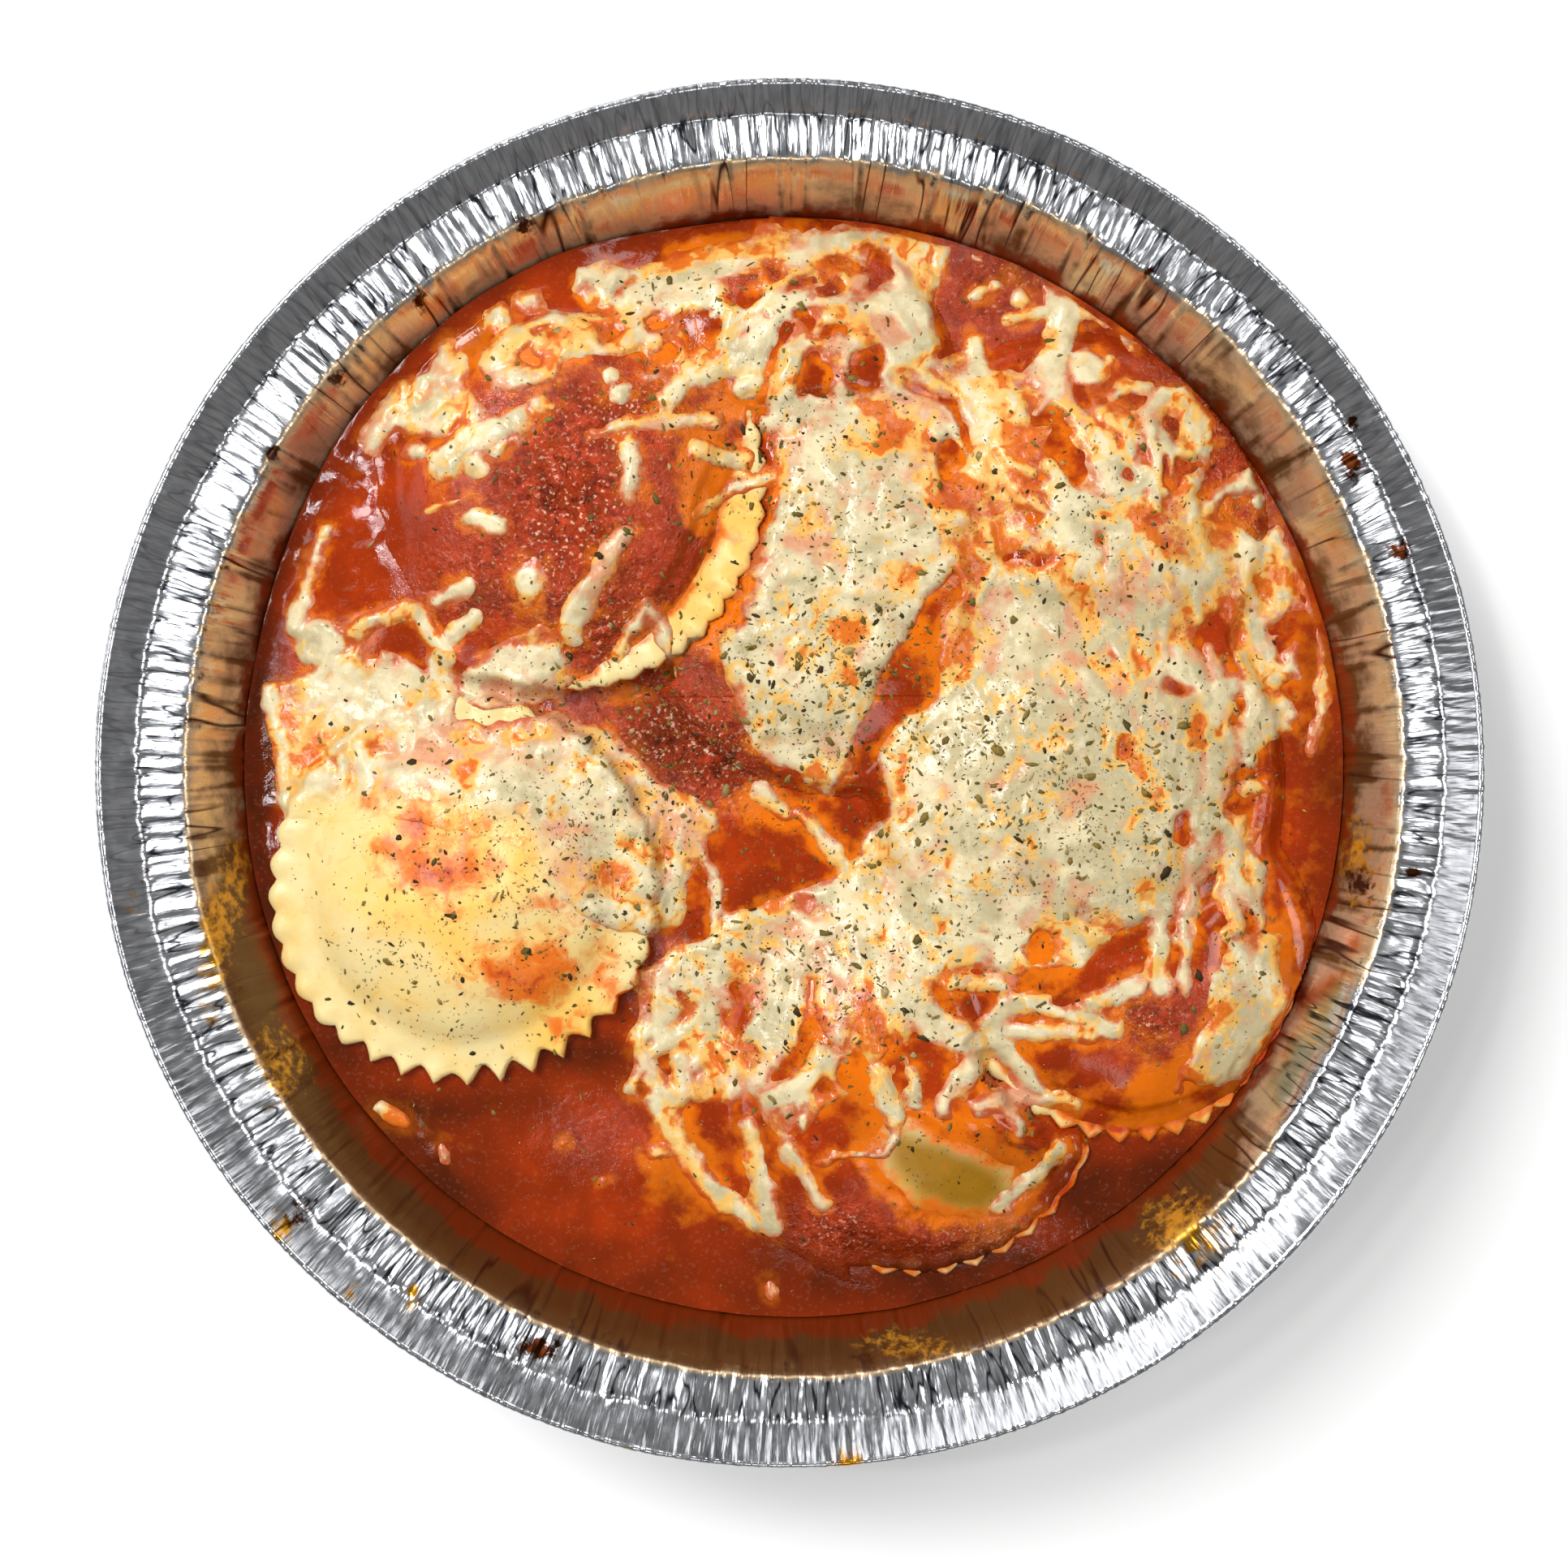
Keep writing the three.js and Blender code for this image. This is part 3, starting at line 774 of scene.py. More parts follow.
    DULL: list[Spot] = [
        Spot(56, 4, 28, 30, 0.2), Spot(12, 44, 14, 16, 0.08), Spot(0, -44, 24, 12, 0.07),
        Spot(78, -44, 10, 14, 0.12),
    ]
    CHOPPY: list[Spot] = [
        Spot(-77, 44, 12, 16, 1.0), Spot(-84, 14, 10, 12, 0.8), Spot(-66, -64, 14, 8, 0.7),
        Spot(-94, -8, 4, 20, 0.6), Spot(24, -95, 20, 4, 0.8), Spot(18, 16, 10, 10, 0.6),
        Spot(60, 74, 16, 10, 0.5), Spot(-14, 4, 12, 8, 0.5),
    ]
    CHUNKY: list[Spot] = [
        Spot(-38, 44, 16, 19, 1.0), Spot(-28, 62, 12, 8, 0.6), Spot(-30, 22, 12, 8, 0.6),
        Spot(-56, 32, 10, 10, 0.4), Spot(-22, 6, 14, 10, 0.8), Spot(-12, 0, 8, 8, 0.6),
        Spot(36, 86, 12, 10, 0.6), Spot(72, 62, 14, 14, 0.5), Spot(8, -82, 9, 6, 0.7),
        Spot(62, -44, 8, 6, 0.8), Spot(-34, -66, 12, 8, 0.25), Spot(30, -84, 16, 4, 0.5),
        Spot(-22, -38, 6, 6, 0.6), Spot(80, 44, 8, 12, 0.5), Spot(0, 88, 16, 4, 0.5),
        Spot(-86, 14, 8, 10, 0.4),
    ]
    # Darker sauce: painted shadow under the ravioli's edges and in the gaps between them, and darker sauce
    # along the wall and at the lower left
    DARK: list[Spot] = [
        Spot(-95, 0, 4, 60, 0.8), Spot(62, -76, 24, 10, 1.2), Spot(34, -91, 30, 6, 1.1),
        Spot(-70, -74, 14, 8, 0.7), Spot(-22, 6, 10, 10, 0.6), Spot(-40, -52, 12, 4, 0.6),
        Spot(-80, -52, 8, 6, 0.5), Spot(82, -60, 10, 6, 0.8), Spot(-57, 8.5, 8, 1.6, 0.8),
        Spot(-58, -60, 20, 4, 0.5), Spot(0, -88, 26, 10, 0.35), Spot(92, 0, 8, 24, 0.4),
        Spot(-28, -36, 6, 4, 0.5), Spot(72, -35, 4, 5, 0.2),
    ]


class Food:
    """The food's upper side, worked out layer by layer on the grid in the bowl's frame."""

    COATED_ROUND: list[Point] = [
        (-84, 38), (-83, 56), (-73, 73), (-57, 85), (-38, 90), (-20, 86), (-10, 76), (-8, 64), (-10, 54),
        (-13, 46), (-15, 38), (-19, 31), (-25, 24), (-32, 19), (-42, 14), (-54, 8), (-70, 12), (-81, 24),
    ]
    BARE_PATCH: list[Point] = [
        (16, -61), (22, -62.5), (28, -64), (34, -67), (39, -71), (40, -77), (34, -81), (27, -80.5),
        (20, -77), (15, -71), (14, -65),
    ]
    COVERED_SIDE = math.radians(150)
    BODY = 0.62
    SHREDS = 900

    def __init__(self, grid: Grid, pasta: list[Ravioli]) -> None:
        """Works out every layer, from the pasta up."""
        self.grid = grid
        self.pasta = pasta
        self.warp = Lattice(11)
        self.relief = Lattice(12)
        self.fine = Lattice(13)
        self.shares = [piece.share(grid.x, grid.y) for piece in pasta]
        tops = [self.pasta_height(index, grid.x, grid.y, share) for index, share in enumerate(self.shares)]
        covered = [np.where(share <= 1.0, top, 0.0) for top, share in zip(tops, self.shares)]
        self.pasta_top = np.maximum.reduce(covered)
        self.owner = np.argmax(np.array(covered), axis=0)
        self.owner[self.pasta_top < 1] = -1
        self.pool = self.pool_height()
        self.sauce_top = smooth_max(self.pool, grid.blur(self.film_height(), 0.35), 1.3)
        self.ground = np.maximum(self.sauce_top, np.maximum(self.pasta_top, HIDDEN_LEVEL))
        self.ropes = self.melted_shreds()
        self.cover = self.cheese_cover()
        shape = self.cheese_inside()
        self.inside = np.minimum(shape, (self.cover - 0.2) * 6)
        on_left = grid.blur(np.where(self.owner == LEFT, 1.0, 0.0), 1.0)
        showing = smooth_step(2, -8, grid.y) * smooth_step(-34, -50, grid.x)
        self.dough = on_left * smooth_step(8, 1, shape) * showing
        self.thickness = self.cheese_thickness()
        self.near = grid.blur(self.ground, 0.5)
        self.cheese_top = self.cheese_height()
        self.shown = np.where(self.inside > -0.4, np.maximum(self.ground, self.cheese_top), self.ground)

    def pasta_height(self, index: int, x: Array, y: Array, share: Array) -> Array:
        """A round's upper side, pressed down where a higher round lies on it.

        Args:
            index: Which round.
            x: Places across.
            y: Places away.
            share: How far out each place lies on this round.

        Returns:
            The heights.
        """
        heights = self.pasta[index].upper(x, y, share)
        for above in self.pasta[:index]:
            over = above.share(x, y)
            under = above.lower(x, y, np.minimum(over, 1.0)) - 0.25
            press = np.where(over < 1.04, under, 1e3)
            heights = np.minimum(heights, press)
        return heights

    def pool_height(self) -> Array:
        """The pooled sauce: level, with a little relief and a rise at the wall."""
        x, y = self.grid.x, self.grid.y
        choppy = np.clip(spot_field(x, y, Look.CHOPPY), 0, 1)
        chop = choppy * self.fine.layered(x, y + 8, 6, 2)
        swell = 0.22 * self.relief.layered(x, y, 11, 2) + 0.26 * chop
        chunky = np.clip(spot_field(x, y, Look.CHUNKY), 0, 1)
        lumps = 0.16 * np.abs(self.relief.at(x, y, 2.4)) + 0.07 * self.fine.at(x, y, 1.1)
        pulp = lumps * (0.15 + chunky)
        rise = 0.7 * smooth_step(FOOD_REACH - 3.5, FOOD_REACH, self.grid.radius)
        level = SAUCE_LEVEL + swell + pulp + rise
        sunken = self.pasta[UPPER_LEFT]
        shore = smooth_step(1.75, 0.95, self.shares[UPPER_LEFT]) * self.sunken_side()
        rim = sunken.rim(x, y) + sunken.flange_half + 1.4 - SAUCE_LEVEL
        return level + np.clip(rim, 0, 5) * shore

    def film_height(self) -> Array:
        """The upper side of the sauce on the pasta, before it melts into the pool.

        Returns:
            Its height, below the pasta's where the pasta is bare.
        """
        grid = self.grid
        coat = self.coat_depth()
        film = grid.blur(np.maximum(self.pasta_top, HIDDEN_LEVEL), 0.45) + coat
        coated = (coat > 0.12) & (self.owner >= 0)
        thick = np.where(coated, self.pasta_top + 0.7 * coat, HIDDEN_LEVEL)
        bare = np.where((self.owner >= 0) & ~coated, 1.0, 0.0)
        apart = 1 - smooth_step(0.02, 0.3, grid.blur(grid.widen(bare, 2.0), 0.8))
        around = grid.blur(grid.widen(thick, 3.0), 1.6)
        around = HIDDEN_LEVEL + (around - HIDDEN_LEVEL) * apart
        covered = np.maximum(film, np.maximum(around, np.where(coated, thick, 0)))
        film = np.where(coated | (self.owner < 0), covered, film)
        film = np.where(coated, np.maximum(film, grid.blur(film, 3.4) + 0.15), film)
        filled = grid.blur(np.maximum(film, self.pool), 5.0) + 0.8
        hidden = coated & (self.owner == UPPER_LEFT)
        film = np.where(hidden, film + np.maximum(filled - film, 0) * self.sunken_side(), film)
        return film - 2.0 * smooth_step(0.66, 0.98, self.shares[UPPER_LEFT]) * self.sunken_side()

    def sunken_side(self) -> Array:
        """From 0 where the upper left round shows to 1 where it lies under the sauce."""
        sunken = self.pasta[UPPER_LEFT]
        angle = np.arctan2(self.grid.y - sunken.y, self.grid.x - sunken.x)
        return smooth_step(-0.1, 0.5, np.cos(angle - self.COVERED_SIDE))

    def coat_depth(self) -> Array:
        """How thick the sauce lies on the pasta, below 0 where it is bare."""
        x, y = self.grid.x, self.grid.y
        across = x + 0.8 * self.warp.at(x, y, 6)
        away = y + 0.8 * self.warp.at(x + 50, y, 6)
        thin = 0.45 + 0.3 * self.relief.layered(x, y, 7, 2)
        lumps = 0.34 * np.abs(self.relief.at(x, y, 3.4)) + 0.26 * np.abs(self.fine.at(x, y, 1.5))
        lumps = lumps * (0.25 + 0.9 * np.clip(spot_field(x, y, Look.CHUNKY), 0, 1))
        round_coat = np.clip(Shapes.outline(across, away, self.COATED_ROUND) * 0.3, -1.2, 0.55)
        round_coat = round_coat + np.where(round_coat > 0, lumps, 0) * smooth_step(0, 0.5, round_coat)
        torn = across + 2.2 * self.warp.at(x + 5, y, 8), away + 2.2 * self.warp.at(x, y + 5, 8)
        bare_patch = np.clip(-Shapes.outline(*torn, self.BARE_PATCH) * 0.16, -0.8, 0.6)
        low_rim = (0.965 - self.shares[BOTTOM]) * self.pasta[BOTTOM].radius * 0.35
        low_rim = np.clip(low_rim, -0.8, 0.6)
        low_rim = np.where((x > 12) & (y < -58), low_rim, 0.6)
        right_rim = (0.9 - self.shares[LOWER_RIGHT]) * self.pasta[LOWER_RIGHT].radius * 0.3
        right_rim = np.clip(right_rim, -0.8, 0.6)
        right_rim = np.where(y < -50, right_rim, 0.6)
        coat = thin + 0.35 * lumps
        coat = np.where(self.owner == UPPER_LEFT, round_coat, coat)
        coat = np.where(self.owner == LEFT, -1.0, coat)
        coat = np.where(self.owner == BOTTOM, np.minimum(coat, np.minimum(bare_patch, low_rim)), coat)
        coat = np.where(self.owner == LOWER_RIGHT, np.minimum(coat, right_rim), coat)
        return self.grid.blur(coat, 0.45)

    def cheese_inside(self) -> Array:
        """How far inside the cheese's edge each place lies."""
        x, y = self.grid.x, self.grid.y
        across = x + 0.9 * self.warp.at(x, y, 7) + 0.45 * self.warp.at(x, y, 2.8)
        away = y + 0.9 * self.warp.at(x + 31, y + 9, 7) + 0.45 * self.warp.at(x + 31, y + 9, 2.8)
        inside = np.full_like(x, -1e3)
        for patch in Cheese.PATCHES:
            inside = smooth_max(inside, Shapes.outline(across, away, patch), 1.2)
        inside = -smooth_max(-inside, -(self.grid.blur(inside, 0.6) + 0.3), 0.6)
        across = x + 0.8 * self.warp.at(x, y, 5.5) + 0.3 * self.warp.at(x, y, 2.1)
        away = y + 0.8 * self.warp.at(x + 31, y, 5.5) + 0.3 * self.warp.at(x + 31, y, 2.1)
        for points, widths in Cheese.STRANDS:
            strand = Shapes.stroke(across, away, points, widths)
            self.cover = np.maximum(self.cover, 0.2 + 0.5 * np.clip(strand, -0.4, 1.4))
            inside = smooth_max(inside, strand, 1.3)
        for drip in Cheese.DRIPS:
            oval = Shapes.oval(across, away, (drip.x, drip.y), (drip.half_width, drip.half_height))
            self.cover = np.maximum(self.cover, 0.2 + 0.5 * np.clip(oval, -0.4, 1.3))
            inside = smooth_max(inside, oval, 0.8)
        torn = across + 1.5 * self.warp.at(x, y + 77, 3.6)
        ragged = away + 1.5 * self.warp.at(x + 77, y, 3.6)
        for hole in Cheese.HOLES:
            oval = Shapes.oval(torn, ragged, (hole.x, hole.y), (hole.half_width, hole.half_height))
            inside = -smooth_max(-inside, oval, 0.9)
        for points, widths in Cheese.SLITS:
            inside = -smooth_max(-inside, Shapes.stroke(across, away, points, widths), 0.7)
        inside = inside + 0.35 * self.warp.at(x + 9, y, 2.6) + 0.55 * self.relief.at(x, y + 9, 5) - 0.1
        return np.minimum(inside, FOOD_REACH - 1.4 + 0.6 * self.warp.at(x, y, 4) - self.grid.radius)

    def melted_shreds(self) -> Array:
        """The ropes that the melted shreds leave, from 0 between them to 1 on the highest."""
        dice = np.random.default_rng(31)
        ropes = np.zeros_like(self.grid.x)
        for index in range(self.SHREDS):
            fine = index % 3 > 0
            self.lay_rope(ropes, dice, (1.9, 3.2) if fine else (3.4, 5.6), 0.85 if fine else 1.0)
        return self.grid.blur(ropes, 0.35)

    def cheese_cover(self) -> Array:
        """How fully cheese hides what is under it, from 0 where the shreds leave gaps to above 1."""
        x, y = self.grid.x, self.grid.y
        across = x + 1.2 * self.warp.at(x, y + 40, 6)
        away = y + 1.2 * self.warp.at(x + 40, y, 6)
        dense = np.clip(spot_field(across, away, Cheese.DENSE), 0, 1)
        clouds = self.relief.layered(across - 15, away + 66, 9, 3)
        gathered = 0.8 * self.ropes + 0.25 * self.grid.blur(self.ropes, 1.5)
        return 0.2 + 0.5 * dense + gathered + 0.26 * clouds

    def cheese_thickness(self) -> Array:
        """The cheese's thickness, below 0 outside it."""
        x, y = self.grid.x, self.grid.y
        depth = np.clip(self.inside / 2.0, 0, 1)
        edge = depth * (2 - depth)
        body = self.BODY * edge * (1 + 0.35 * self.relief.at(x, y + 60, 9))
        swell = 0.5 * self.ropes * smooth_step(0.3, 2.0, self.inside)
        lumps = 0.16 * self.relief.layered(x, y + 20, 3.4, 3) * smooth_step(0.8, 2, self.inside)
        thin = 1 - 0.9 * self.dough
        return np.where(self.inside < 0, self.inside * 0.75, (body + swell + lumps) * thin)

    def lay_rope(self, ropes: Array, dice: np.random.Generator, widths: Point, most: float) -> None:
        """Adds one melted shred to the ropes' field.

        Args:
            ropes: The field, which is changed.
            dice: Where its place and size are drawn from.
            widths: Its least and greatest width.
            most: Its greatest height.
        """
        grid = self.grid
        middle = dice.uniform(-92, 92, 2)
        slanted = middle[0] > 22 and middle[1] > 18
        hanging = middle[1] < -36 or (middle[0] > 58 and middle[1] < 30)
        lie, spread = (-1.05, 0.45) if slanted else (-1.5, 0.4) if hanging else (0.4, 1.1)
        heading = dice.normal(lie, spread)
        length = dice.uniform(7, 17)
        width = dice.uniform(*widths)
        bend = dice.uniform(-0.8, 0.8)
        height = dice.uniform(0.4, most)
        ahead = np.array([math.cos(heading), math.sin(heading)]) * length / 2
        turned = np.array([math.cos(heading + bend), math.sin(heading + bend)]) * length / 2
        reach = length / 2 + width
        low = np.clip(((middle - reach + grid.HALF) / grid.STEP).astype(int), 0, grid.count)
        high = np.clip(((middle + reach + grid.HALF) / grid.STEP).astype(int), 0, grid.count)
        window = (slice(low[1], high[1]), slice(low[0], high[0]))
        points = [tuple(middle - ahead), tuple(middle), tuple(middle + turned)]
        depth = Shapes.stroke(grid.x[window], grid.y[window], points, (width, width * 0.7))
        share = np.clip(depth / (width / 2), 0, 1)
        ropes[window] = np.maximum(ropes[window], height * share * (2 - share))

    def cheese_height(self) -> Array:
        """The cheese's upper side, hugging the food at its edges and bridging it further in."""
        soft = self.grid.blur(self.ground, 2.2)
        deep = smooth_step(0.8, 4.5, self.inside)
        base = self.near + (soft - self.near) * deep
        base = np.where(self.inside > 0.3, smooth_max(base, self.ground + 0.1, 0.6) - 0.15, base)
        return base + self.thickness


@dataclass(frozen=True)
class Colour:
    """A colour as a screen shows it, from 0 to 255."""

    red: int
    green: int
    blue: int

    def linear(self) -> tuple[float, float, float, float]:
        """The colour as light, which a shader takes."""
        shares = [channel / 255 for channel in (self.red, self.green, self.blue)]
        light = [share / 12.92 if share <= 0.04045 else ((share + 0.055) / 1.055) ** 2.4 for share in shares]
        return (light[0], light[1], light[2], 1.0)


class Finish:
    """A node material in the making, read on object coordinates in metres."""

    def __init__(self, name: str) -> None:
        """Starts a material with one plain surface."""
        self.material = bpy.data.materials.new(name)
        self.material.use_nodes = True
        self.tree = self.material.node_tree
        self.tree.nodes.clear()
        self.surface = self.tree.nodes.new("ShaderNodeBsdfPrincipled")
        output = self.tree.nodes.new("ShaderNodeOutputMaterial")
        self.tree.links.new(self.surface.outputs["BSDF"], output.inputs["Surface"])
        self.place = self.tree.nodes.new("ShaderNodeTexCoord").outputs["Object"]

    def plain(self, **values: float | tuple) -> None:
        """Sets sockets that are the same all over, named with underscores for spaces."""
        for title, value in values.items():
            self.surface.inputs[title.replace("_", " ")].default_value = value

    def feed(self, title: str, source: Socket) -> None:
        """Links a value to one of the surface's sockets."""
        self.tree.links.new(source, self.surface.inputs[title])

    def trait(self, title: str) -> Socket:
        """A value that the mesh carries for each vertex."""
        node = self.tree.nodes.new("ShaderNodeAttribute")
        node.attribute_name = title
        return node.outputs["Fac"]

    def math(self, action: str, first: Socket, second: Socket | float) -> Socket:
        """One sum of two values.

        Args:
            action: The sum's name.
            first: The first value.
            second: The second value, or a number.

        Returns:
            The result.
        """
        node = self.tree.nodes.new("ShaderNodeMath")
        node.operation = action
        self.tree.links.new(first, node.inputs[0])
        if isinstance(second, (int, float)):
            node.inputs[1].default_value = second
        else:
            self.tree.links.new(second, node.inputs[1])
        return node.outputs[0]

    def plus(self, first: Socket, second: Socket) -> Socket:
        """Two values added up."""
        return self.math("ADD", first, second)

    def times(self, first: Socket, second: Socket | float) -> Socket:
        """Two values multiplied."""
        return self.math("MULTIPLY", first, second)

    def spread(self, source: Socket, low: float, high: float, start: float = 0.0,
               end: float = 1.0) -> Socket:
        """Eases a value from one range into another.

        Args:
            source: The value.
            low: Value where the ease starts.
            high: Value where it ends.
            start: Result at low.
            end: Result at high.

        Returns:
            The eased value.
        """
        node = self.tree.nodes.new("ShaderNodeMapRange")
        node.interpolation_type = "SMOOTHSTEP"
        self.tree.links.new(source, node.inputs["Value"])
        node.inputs["From Min"].default_value = low
        node.inputs["From Max"].default_value = high
        node.inputs["To Min"].default_value = start
        node.inputs["To Max"].default_value = end
        return node.outputs["Result"]

    def noise(self, size: float, detail: float = 3.0, rough: float = 0.55, twist: float = 0.0,
              source: Socket | None = None) -> Socket:
        """Cloudy noise.

        Args:
            size: Its coarsest features in millimetres.
            detail: How many finer layers.
            rough: How strong the finer layers are.
            twist: How much it is distorted.
            source: Coordinates in metres, or None for the object's.

        Returns:
            Values round 0.5.
        """
        node = self.tree.nodes.new("ShaderNodeTexNoise")
        self.tree.links.new(source or self.place, node.inputs["Vector"])
        node.inputs["Scale"].default_value = 1 / (size * MM)
        node.inputs["Detail"].default_value = detail
        node.inputs["Roughness"].default_value = rough
        node.inputs["Distortion"].default_value = twist
        return node.outputs["Fac"]

    def sway(self, half: float, size: float, detail: float = 3.0, rough: float = 0.55,
             twist: float = 0.0) -> Socket:
        """Cloudy noise that sways a value up and down by about the same.

        Args:
            half: The most that it adds or takes away.
            size: The noise's coarsest features in millimetres.
            detail: How many finer layers.
            rough: How strong the finer layers are.
            twist: How much it is distorted.

        Returns:
            Values from -half to half.
        """
        return self.spread(self.noise(size, detail, rough, twist), 0.3, 0.7, -half, half)

    def mix(self, share: Socket, first: Socket | Colour,
            second: Socket | Colour) -> Socket:
        """Blends two colours.

        Args:
            share: How much of the second.
            first: The first colour.
            second: The second colour.

        Returns:
            The blend.
        """
        node = self.tree.nodes.new("ShaderNodeMix")
        node.data_type = "RGBA"
        self.tree.links.new(share, node.inputs["Factor"])
        for title, colour in (("A", first), ("B", second)):
            socket = next(s for s in node.inputs if s.name == title and s.type == "RGBA")
            if isinstance(colour, Colour):
                socket.default_value = colour.linear()
            else:
                self.tree.links.new(colour, socket)
        return next(s for s in node.outputs if s.type == "RGBA")

    def tint(self, base: Socket, colour: Colour, source: Socket, low: float, high: float,
             most: float = 1.0) -> Socket:
        """Blends a colour in where a value is high.

        Args:
            base: The colour so far.
            colour: The colour that comes in.
            source: The value.
            low: Value where it starts to come in.
            high: Value where it is all in.
            most: How much of it there is then.

        Returns:
            The blend.
        """
        return self.mix(self.spread(source, low, high, 0.0, most), base, colour)

    def bump(self, height: Socket, depth: float, strength: float = 1.0,
             below: Socket | None = None) -> Socket:
        """Fine relief.

        Args:
            height: The relief.
            depth: Its depth in millimetres.
            strength: How much of it shows.
            below: Coarser relief that it lies on, or None.

        Returns:
            The bent normal.
        """
        node = self.tree.nodes.new("ShaderNodeBump")
        node.inputs["Distance"].default_value = depth * MM
        node.inputs["Strength"].default_value = strength
        self.tree.links.new(height, node.inputs["Height"])
        if below is not None:
            self.tree.links.new(below, node.inputs["Normal"])
        return node.outputs["Normal"]


@dataclass(frozen=True)
class SauceFinish:
    """Glossy tomato sauce with pulp, orange oil, darker stretches partly painted shadow, and painted shade
    and glints on the pulp.
    """

    red: Colour = Colour(136, 40, 2)
    bright: Colour = Colour(162, 50, 3)
    oil: Colour = Colour(214, 104, 4)
    # Darkest sauce, partly painted shadow under the ravioli's edges
    dark: Colour = Colour(74, 24, 1)
    pulp: Colour = Colour(202, 70, 36)
    # Painted shade in the pulp's hollows
    sunk: Colour = Colour(96, 14, 3)
    # Painted glints that sparkle on the pulp
    painted_glint: Colour = Colour(240, 190, 160)

    def make(self) -> bpy.types.Material:
        """The material."""
        finish = Finish("tomato_sauce")
        cloud = finish.noise(9, 4, 0.6, 0.4)
        red = finish.mix(finish.spread(cloud, 0.35, 0.68), self.red, self.bright)
        chunk = finish.spread(finish.noise(3.2, 5, 0.68, 0.4), 0.46, 0.62)
        red = finish.mix(finish.times(chunk, finish.trait("pulp")), red, self.pulp)
        # Painted shade: darker red in the pulp's hollows
        sunk = finish.spread(finish.noise(2.0, 4, 0.65, 0.3), 0.5, 0.36)
        red = finish.mix(finish.times(sunk, finish.trait("pulp")), red, self.sunk)
        oiled = finish.plus(finish.trait("oil"), finish.sway(0.3, 4.5, 4, 0.6))
        red = finish.tint(red, self.oil, oiled, 0.15, 0.85)
        # Painted shadow under the ravioli's edges and between them, with darker sauce along the wall
        darkened = finish.times(finish.trait("dark"), finish.spread(cloud, 0.2, 0.6, 0.6, 1.0))
        red = finish.mix(darkened, red, self.dark)
        # Painted glints: pale specks on the chunky pulp
        glint_dots = finish.spread(finish.noise(0.75, 2, 0.5), 0.58, 0.67)
        red = finish.mix(finish.times(glint_dots, finish.trait("painted_glint")), red, self.painted_glint)
        finish.feed("Base Color", red)
        finish.plain(Roughness=0.05, Specular_IOR_Level=0.4, IOR=1.4)
        grain = finish.times(finish.noise(1.9, 4, 0.68, 0.3), finish.trait("pulp"))
        swell = finish.bump(finish.noise(6, 2, 0.5), 0.5, 0.25)
        finish.feed("Normal", finish.bump(grain, 2.6, 1.0, swell))
        return finish.material


@dataclass(frozen=True)
class PastaFinish:
    """Cooked pasta, cream to yellow, stained orange where sauce has soaked in."""

    cream: Colour = Colour(222, 202, 144)
    yellow: Colour = Colour(228, 186, 92)
    olive: Colour = Colour(152, 108, 10)
    stain: Colour = Colour(216, 108, 14)
    deep: Colour = Colour(176, 52, 6)

    def colour(self, finish: Finish) -> Socket:
        """The pasta's colour, which thin cheese on it takes too."""
        warm = finish.plus(finish.trait("warm"), finish.sway(0.3, 14, 4, 0.6))
        base = finish.mix(finish.spread(warm, 0.0, 1.0), self.cream, self.yellow)
        base = finish.mix(finish.trait("olive"), base, self.olive)
        mottle = finish.spread(finish.noise(3.4, 5, 0.6, 0.5), 0.3, 0.72, -0.3, 0.3)
        soaked = finish.plus(finish.trait("stain"), mottle)
        base = finish.tint(base, self.stain, soaked, 0.1, 0.8)
        return finish.tint(base, self.deep, soaked, 0.8, 1.25)

    def make(self) -> bpy.types.Material:
        """The material."""
        finish = Finish("cooked_pasta")
        finish.feed("Base Color", self.colour(finish))
        finish.plain(Roughness=0.32, Specular_IOR_Level=0.45, IOR=1.42, Subsurface_Weight=0.35)
        finish.plain(Subsurface_Radius=(0.0026, 0.0015, 0.0006), Subsurface_Scale=0.8)
        soft = finish.bump(finish.noise(3.2, 3, 0.6), 0.3, 0.35)
        finish.feed("Normal", finish.bump(finish.noise(0.9, 2, 0.5), 0.1, 0.4, soft))
        return finish.material


